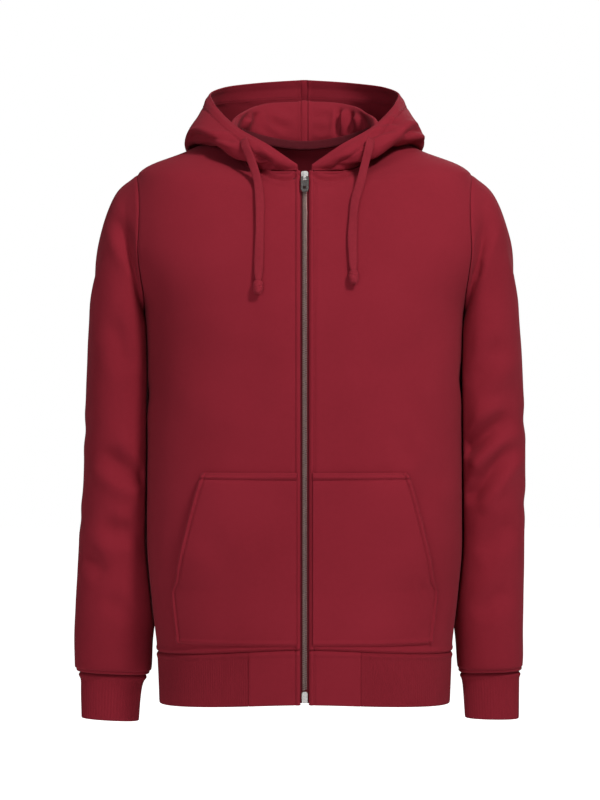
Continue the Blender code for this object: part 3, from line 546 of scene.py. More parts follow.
# The face of a plain knit: columns of small V-shaped stitches along the grain
def makeKnitFace():
    tree, given, made = newGroup("knitFace", [("Grain", "NodeSocketVector", None),
                                              ("Stitch", "NodeSocketFloat", 0.001)],
                                 [("Height", "NodeSocketFloat")])
    across, along = stitchCells(tree, given)
    fromMiddle = toAndFro(tree, across)
    slope = mathNode(tree, "MULTIPLY", fromMiddle, 0.55)
    leg = mathNode(tree, "FRACT", mathNode(tree, "MULTIPLY_ADD", along, 1.25, slope))
    rounded = mathNode(tree, "SINE", mathNode(tree, "MULTIPLY", leg, math.pi))
    column = mathNode(tree, "SINE", mathNode(tree, "MULTIPLY", fromMiddle, math.pi))
    height = mathNode(tree, "MULTIPLY", rounded, mathNode(tree, "MULTIPLY_ADD", column, 0.6, 0.4))
    tree.links.new(height, made.inputs["Height"])
    return tree


# A flat braid or a herringbone tape: ribs that slant one way, then the other, across the grain
def makeSlantWeave():
    tree, given, made = newGroup("slantWeave", [("Grain", "NodeSocketVector", None),
                                                ("Stitch", "NodeSocketFloat", 0.001),
                                                ("Columns", "NodeSocketFloat", 2.0)],
                                 [("Height", "NodeSocketFloat")])
    across, along = stitchCells(tree, given)
    zigzag = toAndFro(tree, mathNode(tree, "DIVIDE", across, given.outputs["Columns"]))
    slant = mathNode(tree, "MULTIPLY_ADD", zigzag, given.outputs["Columns"], along)
    ridge = mathNode(tree, "ABSOLUTE", mathNode(tree, "SINE", mathNode(tree, "MULTIPLY", slant, math.pi)))
    gap = mathNode(tree, "SMOOTH_MIN", zigzag, 0.25, 0.1)
    height = mathNode(tree, "MULTIPLY", ridge, mathNode(tree, "MULTIPLY_ADD", gap, 1.6, 0.6))
    tree.links.new(height, made.inputs["Height"])
    return tree


# Small scratches and dulled patches on plated metal
def makeMetalWear():
    tree, given, made = newGroup("metalWear", [("Place", "NodeSocketVector", None)],
                                 [("Wear", "NodeSocketFloat"), ("Scratch", "NodeSocketFloat")])
    patches = noiseNode(tree, given.outputs["Place"], 420.0, 3.0, 0.6)
    stretched = tree.nodes.new("ShaderNodeVectorMath")
    stretched.operation = "MULTIPLY"
    stretched.inputs[1].default_value = (5.0, 5.0, 0.6)
    tree.links.new(given.outputs["Place"], stretched.inputs[0])
    scratches = noiseNode(tree, stretched.outputs[0], 900.0, 2.0)
    tree.links.new(patches, made.inputs["Wear"])
    tree.links.new(scratches, made.inputs["Scratch"])
    return tree


def startMaterial(name):
    material = bpy.data.materials.new(name)
    material.use_nodes = True
    tree = material.node_tree
    shader = tree.nodes["Principled BSDF"]
    place = tree.nodes.new("ShaderNodeTexCoord")
    return material, tree, shader, place


def mixedColour(tree, share, dark, light):
    mixed = tree.nodes.new("ShaderNodeMix")
    mixed.data_type = "RGBA"
    tree.links.new(share, mixed.inputs["Factor"])
    first, second = (socket for socket in mixed.inputs if socket.type == "RGBA")
    first.default_value = (*dark, 1.0)
    second.default_value = (*light, 1.0)
    return next(socket for socket in mixed.outputs if socket.type == "RGBA")


def useGroup(tree, group, links, values):
    node = tree.nodes.new("ShaderNodeGroup")
    node.node_tree = group
    for label, source in links.items():
        tree.links.new(source, node.inputs[label])
    for label, value in values.items():
        node.inputs[label].default_value = value
    return node.outputs


def bumped(tree, shader, height, strength, distance):
    bump = tree.nodes.new("ShaderNodeBump")
    bump.inputs["Strength"].default_value = strength
    bump.inputs["Distance"].default_value = distance
    tree.links.new(height, bump.inputs["Height"])
    tree.links.new(bump.outputs["Normal"], shader.inputs["Normal"])


def makeClothMaterial(name, finish, groups, weave="knitFace", fleck=0.35):
    look = finishes[finish]
    material, tree, shader, place = startMaterial(name)
    tone = useGroup(tree, groups["clothTone"], {"Place": place.outputs["Object"]}, {"Fleck": fleck})["Tone"]
    sizes = {"Stitch": look["stitch"]}
    if weave == "slantWeave":
        sizes["Columns"] = 3.0
    height = useGroup(tree, groups[weave], {"Grain": place.outputs["UV"]}, sizes)["Height"]
    fuzz = noiseNode(tree, place.outputs["Object"], brushed["fuzz"], 2.0, 0.7)
    toned = mathNode(tree, "MULTIPLY", tone, brushed["toneShade"])
    # colour share: the cloth's own random tone plus painted shade that darkens where the stitch height is low
    shade = mathNode(tree, "MULTIPLY_ADD", height, brushed["weaveShade"], toned)
    tree.links.new(mixedColour(tree, shade, look["dark"], look["light"]), shader.inputs["Base Color"])
    rough = mathNode(tree, "MULTIPLY_ADD", tone, 0.08, look["roughness"])
    tree.links.new(rough, shader.inputs["Roughness"])
    shader.inputs["Sheen Weight"].default_value = look["sheen"]
    shader.inputs["Sheen Roughness"].default_value = brushed["sheenRoughness"]
    shader.inputs["Sheen Tint"].default_value = brushed["sheenTint"]
    shader.inputs["Specular IOR Level"].default_value = brushed["gloss"]
    relief = mathNode(tree, "MULTIPLY_ADD", fuzz, 0.5, height)
    bumped(tree, shader, relief, look["relief"], brushed["height"])
    return material


def makeMetalMaterial(name, finish, groups):
    look = finishes[finish]
    material, tree, shader, place = startMaterial(name)
    wear = useGroup(tree, groups["metalWear"], {"Place": place.outputs["Object"]}, {})
    tree.links.new(mixedColour(tree, wear["Wear"], look["dark"], look["light"]), shader.inputs["Base Color"])
    rough = mathNode(tree, "MULTIPLY_ADD", wear["Scratch"], 0.25, look["roughness"] - 0.12)
    tree.links.new(rough, shader.inputs["Roughness"])
    shader.inputs["Metallic"].default_value = look["metallic"]
    bumped(tree, shader, wear["Scratch"], 0.12, 0.05 * mm)
    return material


def makeMaterials():
    print("finishes")
    groups = {"clothTone": makeClothTone(), "knitFace": makeKnitFace(), "slantWeave": makeSlantWeave(),
              "metalWear": makeMetalWear()}
    return {
        "fleece": makeClothMaterial("burgundyFleece", "fleece", groups),
        "rib": makeClothMaterial("burgundyRib", "rib", groups),
        "tape": makeClothMaterial("wovenTape", "tape", groups, "slantWeave", 0.6),
        "cord": makeClothMaterial("flatCord", "cord", groups, "slantWeave", 0.5),
        "thread": makeClothMaterial("topstitchThread", "thread", groups, "slantWeave", 0.6),
        "gunmetal": makeMetalMaterial("zipGunmetal", "gunmetal", groups),
        "nickel": makeMetalMaterial("brightNickel", "nickel", groups),
        "steel": makeMetalMaterial("darkSteel", "steel", groups),
    }


# drawcords: the free ends of one flat cord that runs in the hood's rim, each with its knot

drawcord = {"width": 11 * mm, "thickness": 2.6 * mm, "sides": 16, "points": 64,
            "knotWidth": 6.5 * mm, "knotLength": 15.5 * mm, "knotTurns": 9.5, "tail": 1.4 * mm}
cordRoutes = {
    "left": [
        (0.0828, -0.0968, -0.0207), (0.0800, -0.1040, -0.0320), (0.0764, -0.1070, -0.0461),
        (0.0688, -0.1168, -0.0767), (0.0620, -0.1277, -0.1000), (0.0595, -0.1345, -0.1240),
        (0.0586, -0.1393, -0.1459), (0.0592, -0.1430, -0.1700), (0.0597, -0.1464, -0.1880),
    ],
    "right": [
        (-0.0766, -0.0986, -0.0219), (-0.0730, -0.1066, -0.0320), (-0.0685, -0.1087, -0.0430),
        (-0.0589, -0.1160, -0.0718), (-0.0555, -0.1274, -0.1000), (-0.0553, -0.1351, -0.1270),
        (-0.0561, -0.1408, -0.1560), (-0.0568, -0.1444, -0.1800), (-0.0573, -0.1480, -0.2003),
    ],
}
cordTwists = {"left": [-38, -20, -6, 6, 10, -4, -8, 4], "right": [38, 24, 8, -8, -14, -4, 10, 0]}


def makeCord(hand, materials):
    print("drawcord", hand)
    path = curveThrough(cordRoutes[hand], np.linspace(0, 1, drawcord["points"]))
    ahead = unit(np.gradient(path, axis=0))
    share = np.linspace(0, 1, len(path))
    twist = np.radians(smoothThrough(cordTwists[hand], share * (len(cordTwists[hand]) - 1)))
    side = unit(np.array([1.0, 0, 0]) - ahead * ahead[:, :1])
    front = np.cross(ahead, side)
    cosine, sine = np.cos(twist)[:, None], np.sin(twist)[:, None]
    side, front = side * cosine + front * sine, front * cosine - side * sine
    turn = np.linspace(0, 2 * math.pi, drawcord["sides"], endpoint=False)
    wide = np.sign(np.cos(turn)) * np.abs(np.cos(turn)) ** 0.7 * drawcord["width"] / 2
    thick = np.sign(np.sin(turn)) * np.abs(np.sin(turn)) ** 0.8 * drawcord["thickness"] / 2
    narrow = (1 - 0.28 * ease(share, 0.93, 1.0) + 0.06 * np.sin(share * 17 + (hand == "left")))[:, None, None]
    fat = (1 + 0.9 * ease(share, 0.93, 1.0))[:, None, None]
    rings = path[:, None] + side[:, None] * wide[None, :, None] * narrow
    rings = rings + front[:, None] * thick[None, :, None] * fat
    cord = makeTube(f"drawcord_{hand}_cloth", rings, materials["cord"])
    knot = makeKnot(hand, path[-1], ahead[-1], materials)
    for piece in (cord, knot):
        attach(piece, "garment")
    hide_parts(f"drawcord_{hand}")
    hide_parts(f"knot_{hand}")


# An overhand knot pulled tight: two turns of the flat cord round itself, and a short flared tail
def makeKnot(hand, start, down, materials):
    side = unit(np.array([1.0, 0, 0]) - down * down[0])
    front = np.cross(down, side)
    across, rows = 28, 40
    turn = np.linspace(0, 2 * math.pi, across, endpoint=False)[None, :]
    at = np.linspace(0, 1, rows)[:, None]
    knotShare = drawcord["knotLength"] / (drawcord["knotLength"] + drawcord["tail"])
    body = np.clip(at / knotShare, 0, 1)
    half = drawcord["knotWidth"] * (0.50 + 0.50 * np.sin(math.pi * np.clip(body, 0, 0.94)) ** 0.42)
    wrap = np.sin(turn * handSide[hand] + body * drawcord["knotTurns"])
    groove = 1 - 0.16 * np.exp(-((wrap + 0.55) / 0.28) ** 2) * np.sin(math.pi * body)
    radius = half * groove
    tailAt = np.clip((at - knotShare) / (1 - knotShare), 0, 1)
    tailWide = drawcord["width"] / 2 * (0.62 + 0.28 * tailAt)
    tailThick = drawcord["thickness"] * (0.85 - 0.25 * tailAt)
    inTail = ease(at, knotShare - 0.03, knotShare + 0.04)
    wide = (radius * (1 - inTail) + tailWide * inTail) * np.cos(turn)
    thick = (radius * 0.82 * (1 - inTail) + tailThick * inTail) * np.sin(turn)
    length = drawcord["knotLength"] + drawcord["tail"]
    middle = start - down * 1.5 * mm + down * at[..., None] * length
    rings = middle + side * wide[..., None] + front * thick[..., None]
    return makeTube(f"knot_{hand}_cloth", rings, materials["cord"])


# stitch rows and zip teeth, which Geometry Nodes lay along lines on the cloth

stitchRows = []         # each is (piece group, points, directions off the cloth)


# A line on a finished grid, this far in from one of its edges, with the directions off the cloth
def lineInside(grid, normals, edge, inset, first=0.0, last=1.0, lift=0.25 * mm):
    distance = edgeDistances(grid)[edge]
    if edge in ("left", "right"):
        grid, normals, distance = grid.swapaxes(0, 1), normals.swapaxes(0, 1), distance.T
    line, facing = [], []
    for k in range(grid.shape[1]):
        order = np.argsort(distance[:, k])
        near = distance[order, k]
        line.append([np.interp(inset, near, grid[order, k, axis]) for axis in range(3)])
        facing.append([np.interp(inset, near, normals[order, k, axis]) for axis in range(3)])
    line, facing = np.array(line), unit(np.array(facing))
    low, high = int(first * (len(line) - 1)), int(last * (len(line) - 1)) + 1
    return line[low:high] + facing[low:high] * lift, facing[low:high]


def addStitches(group, grid, normals, edge, inset, first=0.0, last=1.0):
    line, facing = lineInside(grid, normals, edge, inset, first, last)
    stitchRows.append((group, line, facing))


def linkNodes(tree, *pairs):
    for source, target in pairs:
        tree.links.new(source, target)


# A Geometry Nodes tree with these inputs, and the identifiers that a modifier sets them by
def startTree(name, inputs):
    tree = bpy.data.node_groups.new(name, "GeometryNodeTree")
    for way in ("INPUT", "OUTPUT"):
        tree.interface.new_socket("Geometry", in_out=way, socket_type="NodeSocketGeometry")
    names = {}
    for label, kind, value in inputs:
        socket = tree.interface.new_socket(label, in_out="INPUT", socket_type=kind)
        if value is not None:
            socket.default_value = value
        names[label] = socket.identifier
    return tree, names, tree.nodes.new("NodeGroupInput"), tree.nodes.new("NodeGroupOutput")


# A tree's end: copies made real, shaded smooth and given their finish
def endTree(tree, last, given, made):
    realize = tree.nodes.new("GeometryNodeRealizeInstances")
    smooth = tree.nodes.new("GeometryNodeSetShadeSmooth")
    finish = tree.nodes.new("GeometryNodeSetMaterial")
    linkNodes(tree, (last, realize.inputs[0]), (realize.outputs[0], smooth.inputs["Geometry"]),
              (smooth.outputs[0], finish.inputs["Geometry"]), (finish.outputs[0], made.inputs["Geometry"]),
              (given.outputs["Finish"], finish.inputs["Material"]))


# Lays a copy of one small shape every so far along the lines of a mesh, its Z off the cloth and its
# X along the line; every second copy may be turned half round
def makeRepeatTree(name, alternate):
    tree, names, given, made = startTree(name, [("Spacing", "NodeSocketFloat", 0.003),
                                                ("Shape", "NodeSocketObject", None),
                                                ("Finish", "NodeSocketMaterial", None),
                                                ("Unevenness", "NodeSocketFloat", 0.0)])
    curve = tree.nodes.new("GeometryNodeMeshToCurve")
    resample = tree.nodes.new("GeometryNodeResampleCurve")
    resample.mode = "LENGTH"
    copies = tree.nodes.new("GeometryNodeInstanceOnPoints")
    facing = tree.nodes.new("GeometryNodeInputNamedAttribute")
    facing.data_type = "FLOAT_VECTOR"
    facing.inputs["Name"].default_value = "facing"
    tangent = tree.nodes.new("GeometryNodeInputTangent")
    turned = tree.nodes.new("FunctionNodeAxesToRotation")
    turned.primary_axis, turned.secondary_axis = "Z", "X"
    shape = tree.nodes.new("GeometryNodeObjectInfo")
    chance = tree.nodes.new("FunctionNodeRandomValue")
    chance.data_type = "FLOAT_VECTOR"
    chance.inputs["Seed"].default_value = 11
    plus = mathNode(tree, "ADD", 1.0, given.outputs["Unevenness"])
    minus = mathNode(tree, "SUBTRACT", 1.0, given.outputs["Unevenness"])
    linkNodes(
        tree,
        (given.outputs["Geometry"], curve.inputs["Mesh"]), (curve.outputs[0], resample.inputs["Curve"]),
        (given.outputs["Spacing"], resample.inputs["Length"]), (resample.outputs[0], copies.inputs["Points"]),
        (facing.outputs["Attribute"], turned.inputs["Primary Axis"]),
        (tangent.outputs[0], turned.inputs["Secondary Axis"]),
        (given.outputs["Shape"], shape.inputs["Object"]),
        (shape.outputs["Geometry"], copies.inputs["Instance"]), (minus, chance.inputs[0]),
        (plus, chance.inputs[1]), (chance.outputs[0], copies.inputs["Scale"]),
    )
    rotation = turned.outputs[0]
    if alternate:
        index = tree.nodes.new("GeometryNodeInputIndex")
        spin = tree.nodes.new("FunctionNodeAxisAngleToRotation")
        spin.inputs["Axis"].default_value = (0, 0, 1)
        parity = mathNode(tree, "MODULO", index.outputs[0], 2.0)
        tree.links.new(mathNode(tree, "MULTIPLY", parity, math.pi), spin.inputs["Angle"])
        turn = tree.nodes.new("FunctionNodeRotateRotation")
        turn.rotation_space = "LOCAL"
        linkNodes(tree, (rotation, turn.inputs["Rotation"]), (spin.outputs[0], turn.inputs["Rotate By"]))
        rotation = turn.outputs[0]
    tree.links.new(rotation, copies.inputs["Rotation"])
    endTree(tree, copies.outputs[0], given, made)
    return tree, names


# Lines with their facing directions, as one mesh of loose edges
def lineMesh(name, lines):
    points, edges, facings = [], [], []
    for line, facing in lines:
        base = len(points)
        points += [tuple(p) for p in line]
        facings += [tuple(n) for n in facing]
        edges += [(base + k, base + k + 1) for k in range(len(line) - 1)]
    mesh = bpy.data.meshes.new(name)
    mesh.from_pydata(points, edges, [])
    layer = mesh.attributes.new("facing", "FLOAT_VECTOR", "POINT")
    layer.data.foreach_set("vector", np.array(facings, np.float32).ravel())
    return addObject(name, mesh)


# Runs a Geometry Nodes tree on an object and keeps the result as a plain mesh
def madeByNodes(carrier, tree, values, name):
    change = carrier.modifiers.new("made", "NODES")
    change.node_group = tree
    for identifier, value in values.items():
        change[identifier] = value
    bpy.context.view_layer.update()
    seen = carrier.evaluated_get(bpy.context.evaluated_depsgraph_get())
    mesh = bpy.data.meshes.new_from_object(seen)
    carrier.modifiers.remove(change)
    bpy.data.objects.remove(carrier, do_unlink=True)
    mesh.name = name
    pieces[name] = addObject(name, mesh)
    return pieces[name]


# A shape that is only copied, as an object to be removed afterwards
def smallShape(name, work):
    mesh = bpy.data.meshes.new(name)
    work.to_mesh(mesh)
    work.free()
    return addObject(name, mesh)


stitch = {"spacing": 3.2 * mm, "length": 2.5 * mm, "thickness": 0.42 * mm, "unevenness": 0.08}


def makeStitchShape():
    work = bmesh.new()
    bmesh.ops.create_uvsphere(work, u_segments=6, v_segments=3, radius=0.5,
                              matrix=Matrix.Rotation(math.pi / 2, 4, "Y"))
    size = (stitch["length"], stitch["thickness"], stitch["thickness"] * 0.9)
    bmesh.ops.scale(work, vec=size, verts=work.verts)
    return smallShape("stitchShape", work)


def makeStitches(materials):
    print("stitches", len(stitchRows), "rows")
    shape = makeStitchShape()
    tree, names = makeRepeatTree("stitchRow", False)
    for group in sorted({row[0] for row in stitchRows}):
        carrier = lineMesh(f"lines_{group}", [row[1:] for row in stitchRows if row[0] == group])
        values = {names["Spacing"]: stitch["spacing"], names["Shape"]: shape,
                  names["Finish"]: materials["thread"], names["Unevenness"]: stitch["unevenness"]}
        piece = madeByNodes(carrier, tree, values, f"topstitch_{group}")
        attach(piece, "garment")
    bpy.data.objects.remove(shape, do_unlink=True)


# the body: two fronts and a back

panel = {"frontWidth": 255 * mm, "backWidth": 560 * mm, "stitch": 6.5 * mm, "lowTrim": 0.004, "topTrim": 0.002}
bodyCreases = [
    crease("front", 26, 2.2, [(-0.062, -0.255), (-0.070, -0.320), (-0.060, -0.390)]),
    crease("front", 24, 2.0, [(0.098, -0.270), (0.104, -0.330), (0.094, -0.385)]),
    crease("front", 22, 1.6, [(-0.150, -0.250), (-0.120, -0.300), (-0.100, -0.370)]),
    crease("front", 18, 1.8, [(0.178, -0.235), (0.150, -0.275), (0.128, -0.330)]),
    crease("front", 11, 2.2, [(0.132, -0.430), (0.118, -0.398), (0.112, -0.372)]),
    crease("front", 16, 2.2, [(0.182, -0.420), (0.150, -0.455), (0.140, -0.500)]),
    crease("front", 12, 1.6, [(-0.182, -0.560), (-0.165, -0.600), (-0.168, -0.640)]),
    crease("front", 11, 1.5, [(0.180, -0.565), (0.166, -0.600), (0.170, -0.640)]),
    crease("front", 15, 1.2, [(-0.150, -0.075), (-0.090, -0.092), (-0.050, -0.110)]),
    crease("front", 15, 1.2, [(0.160, -0.078), (0.100, -0.096), (0.060, -0.115)]),
    crease("back", 20, 3.2, [(-0.170, -0.170), (-0.110, -0.230), (-0.085, -0.330)]),
    crease("back", 22, 3.4, [(0.172, -0.160), (0.118, -0.215), (0.098, -0.300)]),
    crease("back", 15, 2.6, [(-0.185, -0.300), (-0.120, -0.345), (-0.060, -0.360)]),
    crease("back", 16, 2.4, [(0.188, -0.345), (0.130, -0.380), (0.075, -0.398)]),
    crease("back", 13, 2.6, [(-0.165, -0.560), (-0.090, -0.585), (-0.020, -0.578)]),
    crease("back", 12, 2.4, [(0.025, -0.612), (0.090, -0.600), (0.165, -0.575)]),
    crease("back", 24, 1.8, [(-0.045, -0.120), (-0.040, -0.190), (-0.055, -0.260)]),
    crease("left", 14, 2.2, [(-0.060, -0.300), (0.000, -0.330), (0.060, -0.320)]),
    crease("right", 14, 2.2, [(-0.065, -0.320), (-0.005, -0.345), (0.055, -0.330)]),
]

# the hood's seam allowance, turned down on the fronts, lies in a shallow curve each side of the zip
neckFolds = [
    crease("front", 2.4, 3.4, [(-0.056, -0.0610), (-0.037, -0.0699), (-0.022, -0.0720), (-0.008, -0.0665)],
           ridge=0.7, fadeIn=0.15, fadeOut=0.15),
    crease("front", 2.4, 3.4, [(0.008, -0.0665), (0.025, -0.0720), (0.042, -0.0712), (0.058, -0.0630)],
           ridge=0.7, fadeIn=0.15, fadeOut=0.15),
]


# A panel of the body between two edges, with its seams drawn in and its creases laid
def bodyPanel(name, levels, firstAngle, lastAngle, width, edges, thickness, material, creases=(),
              waves=0.5 * mm, frees=()):
    across = seamStations(width, cloth["middleStep"])
    level = levels[:, None]
    first, last = firstAngle(levels)[:, None], lastAngle(levels)[:, None]
    angle = first + (last - first) * across[None, :]
    level = np.broadcast_to(level, angle.shape)
    grid, normals = bodyPoint(angle, level), bodyNormal(angle, level)
    distances = edgeDistances(grid)
    height = withCreases(grid, normals, creases)
    height = height + softWaves(grid, waves, 0.16, 5) + softWaves(grid, waves * 0.35, 0.05, 9)
    calm = np.ones(angle.shape)
    for edge in edges:
        calm = calm * ease(distances[edge], 0, 30 * mm)
    height = height * calm
    for edge, kind in edges.items():
        height = height + edgeShape(distances[edge], kind)
    height = height + withCreases(grid, normals, neckFolds)
    moved = grid + normals * height[..., None]
    piece = clothWall(name, moved, normals, thickness, material, freeEdges=frees)
    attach(piece, "garment")
    return piece, moved, gridNormals(moved)


def seamTrim(level):
    return np.degrees(cloth["gap"] / 2 / np.linalg.norm(bodyPoint(90.0, level), axis=-1))


def makeBody(materials):
    print("body")
    fleece, thickness, stitchAt = materials["fleece"], cloth["fleece"], panel["stitch"]
    first, last = hemSeam + panel["lowTrim"], neckline - panel["topTrim"]
    levels = bodyLevels(first, last, cloth["middleStep"], 45.0)

    def zipEdge(level):
        return angleAt(cloth["zipHalfGap"], level)

    def sideEdge(level):
        return sideAngle(level) - seamTrim(level)

    edges = {"bottom": "seam", "top": "topstitched", "left": "topstitched", "right": "armhole"}
    left, grid, normals = bodyPanel("front_left_cloth", levels, zipEdge, sideEdge, panel["frontWidth"], edges,
                                    thickness, fleece, bodyCreases)
    addStitches("fronts", grid, normals, "left", stitchAt)
    addStitches("fronts", grid, normals, "top", stitchAt, 0.03)
    edges = {"bottom": "seam", "top": "topstitched", "right": "topstitched", "left": "armhole"}
    right, grid, normals = bodyPanel("front_right_cloth", levels, lambda level: -sideEdge(level),
                                     lambda level: -zipEdge(level), panel["frontWidth"], edges,
                                     thickness, fleece, bodyCreases)
    addStitches("fronts", grid, normals, "right", stitchAt)
    addStitches("fronts", grid, normals, "top", stitchAt, 0.0, 0.97)
    edges = {"bottom": "seam", "top": "topstitched", "left": "armhole", "right": "armhole"}
    levels = bodyLevels(first, last, cloth["middleStep"], 150.0)
    back, grid, normals = bodyPanel("back_cloth", levels, lambda level: 180 - sideEdge(level),
                                    lambda level: 180 + sideEdge(level), panel["backWidth"], edges,
                                    thickness, fleece, bodyCreases)
    addStitches("back", grid, normals, "top", stitchAt)
    for piece, node, flat, area in ((left, "front_left", (0.310, 0.665), 0.165),
                                    (right, "front_right", (0.310, 0.665), 0.165),
                                    (back, "back", (0.600, 0.690), 0.345)):
        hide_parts(node)


# the hem band: plain blocks beside the zip and rib all the way round behind them

hem = {"around": 0.86, "rowStep": 11 * mm, "blockWidth": 66 * mm, "blockRowStep": 5 * mm}
rib = {"spacing": 2.9 * mm, "depth": 0.16 * mm, "columns": 5}       # columns of points to each rib


# Knitted ribs: the wall's outer face rises and falls by the distance round it
def makeRibTree():
    tree, names, given, made = startTree("ribKnit", [("Depth", "NodeSocketFloat", 0.0004),
                                                     ("Finish", "NodeSocketMaterial", None)])
    place = tree.nodes.new("GeometryNodeSetPosition")
    around = tree.nodes.new("GeometryNodeInputNamedAttribute")
    around.data_type = "FLOAT"
    around.inputs["Name"].default_value = "rib"
    facing = tree.nodes.new("GeometryNodeInputNamedAttribute")
    facing.data_type = "FLOAT_VECTOR"
    facing.inputs["Name"].default_value = "facing"
    offset = tree.nodes.new("ShaderNodeVectorMath")
    offset.operation = "SCALE"
    height = mathNode(tree, "MULTIPLY", around.outputs["Attribute"], given.outputs["Depth"])
    linkNodes(tree, (given.outputs["Geometry"], place.inputs["Geometry"]),
              (facing.outputs["Attribute"], offset.inputs[0]), (height, offset.inputs["Scale"]),
              (offset.outputs[0], place.inputs["Offset"]))
    endTree(tree, place.outputs[0], given, made)
    return tree, names


# Gives a wall the values that the rib tree reads: how high each point's rib is, and which way is out
def ribWall(name, grid, normals, distances, materials, ribTree, count, closed):
    rows, columns = grid.shape[:2]
    fromFoot, fromSeam = distances["bottom"][:, 0], distances["top"][:, 0]
    fade = 0.25 + 0.75 * ease(fromFoot, 0, 3 * mm) * ease(fromSeam, 1 * mm, 6 * mm)
    plain = clothWall(name + "_plain", grid, normals, cloth["rib"], materials["rib"], closed=closed,
                      freeEdges=("bottom",))
    mesh = plain.data
    total = len(mesh.vertices)
    wave = np.zeros(total, np.float32)
    turn = np.arange(columns) / (columns if closed else columns - 1) * 2 * math.pi * count
    height = np.cos(turn)[None, :] * fade[:, None]
    wave[:rows * columns] = height.ravel()
    facing = np.zeros((total, 3), np.float32)
    facing[:rows * columns] = normals.reshape(-1, 3)
    mesh.attributes.new("rib", "FLOAT", "POINT").data.foreach_set("value", wave)
    mesh.attributes.new("facing", "FLOAT_VECTOR", "POINT").data.foreach_set("vector", facing.ravel())
    del pieces[plain.name]
    tree, names = ribTree
    values = {names["Depth"]: rib["depth"], names["Finish"]: materials["rib"]}
    piece = madeByNodes(plain, tree, values, name)
    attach(piece, "garment")
    return piece


def makeHem(materials, ribTree):
    print("hem band")
    levels = bodyLevels(0.0, hemSeam - 0.001, hem["blockRowStep"], 45.0)

    def blockEdge(level):
        return angleAt(cloth["hemBlock"], level)

    def zipEdge(level):
        return angleAt(cloth["zipHalfGap"], level)

    for hand, side in handSide.items():
        zipSide, ribSide = ("left", "right") if side > 0 else ("right", "left")
        edges = {"top": "seam", zipSide: "topstitched", ribSide: "joined", "bottom": "plain"}

        def inner(level):
            return zipEdge(level) if side > 0 else -blockEdge(level) + seamTrim(level)

        def outer(level):
            return blockEdge(level) - seamTrim(level) if side > 0 else -zipEdge(level)

        block, grid, normals = bodyPanel(f"hem_block_{hand}_cloth", levels, inner, outer, hem["blockWidth"],
                                         edges, cloth["rib"], materials["fleece"], waves=0.15 * mm,
                                         frees=("bottom",))
        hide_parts(f"hem_block_{hand}")
        addStitches("hem", grid, normals, zipSide, panel["stitch"])
    count = int(hem["around"] / rib["spacing"])
    columns = count * rib["columns"] + 1
    rows = bodyLevels(0.0, hemSeam - 0.001, hem["rowStep"], 120.0)
    first = blockEdge(rows) + seamTrim(rows)
    share = np.linspace(0, 1, columns)
    angle = first[:, None] + (360 - 2 * first)[:, None] * share[None, :]
    level = np.broadcast_to(rows[:, None], angle.shape)
    grid, normals = bodyPoint(angle, level), bodyNormal(angle, level)
    distances = edgeDistances(grid)
    waves = softWaves(grid, 0.4 * mm, 0.12, 21) * ease(distances["top"], 0, 30 * mm)
    height = edgeShape(distances["top"], "seam") + waves
    grid = grid + normals * height[..., None]
    band = ribWall("hem_rib_cloth", grid, normals, distances, materials, ribTree, count, False)
    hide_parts("hem_rib")


# sleeves and cuffs

sleeveFields = ("outerX", "outerZ", "innerX", "innerZ", "halfDepth", "forward", "square")
upperSleeve = [
    (0.2130, -0.0580, 0.2030, -0.2350, 0.0660, 0.000, 2.1),
    (0.2387, -0.0793, 0.2035, -0.2400, 0.0700, 0.000, 2.1),
    (0.2555, -0.1151, 0.2000, -0.2469, 0.0720, -0.002, 2.2),
    (0.2672, -0.1661, 0.1950, -0.2619, 0.0730, -0.005, 2.2),
    (0.2738, -0.2246, 0.1925, -0.2848, 0.0725, -0.009, 2.2),
    (0.2782, -0.2847, 0.1895, -0.3149, 0.0710, -0.013, 2.2),
    (0.2818, -0.3581, 0.1885, -0.3681, 0.0680, -0.018, 2.2),
    (0.2844, -0.4509, 0.1890, -0.4529, 0.0620, -0.022, 2.2),
]
lowerSleeve = {
    "left": [
        (0.2835, -0.5217, 0.1933, -0.5217, 0.0570, -0.024, 2.2),
        (0.2818, -0.6026, 0.1899, -0.6026, 0.0500, -0.024, 2.2),
        (0.2813, -0.6531, 0.1944, -0.6551, 0.0440, -0.024, 2.2),
        (0.2808, -0.6864, 0.1970, -0.6884, 0.0370, -0.024, 2.2),
        (0.2773, -0.6940, 0.2005, -0.6960, 0.0290, -0.024, 2.2),
    ],
    "right": [
        (0.2901, -0.5217, 0.1933, -0.5217, 0.0560, -0.024, 2.2),
        (0.2954, -0.6026, 0.1899, -0.6026, 0.0480, -0.024, 2.2),
        (0.2967, -0.6531, 0.1949, -0.6551, 0.0410, -0.024, 2.2),
        (0.2959, -0.6874, 0.1970, -0.6914, 0.0340, -0.024, 2.2),
        (0.2904, -0.6950, 0.2030, -0.6990, 0.0270, -0.024, 2.2),
    ],
}
cuffRings = {
    "left": [
        (0.2773, -0.6943, 0.2005, -0.6963, 0.0265, -0.024, 2.2),
        (0.2762, -0.7086, 0.2035, -0.7106, 0.0255, -0.024, 2.2),
        (0.2760, -0.7541, 0.2062, -0.7530, 0.0255, -0.024, 2.2),
    ],
    "right": [
        (0.2904, -0.6953, 0.2030, -0.6993, 0.0245, -0.024, 2.2),
        (0.2879, -0.7106, 0.2091, -0.7147, 0.0240, -0.024, 2.2),
        (0.2877, -0.7530, 0.2131, -0.7571, 0.0240, -0.024, 2.2),
    ],
}
sleeve = {"columns": 112, "girth": 360 * mm, "rest": 2.4 * mm, "restStep": 8.4 * mm, "stitch": 6 * mm}
cuff = {"ribs": 62, "height": 62 * mm, "rowStep": 4 * mm}
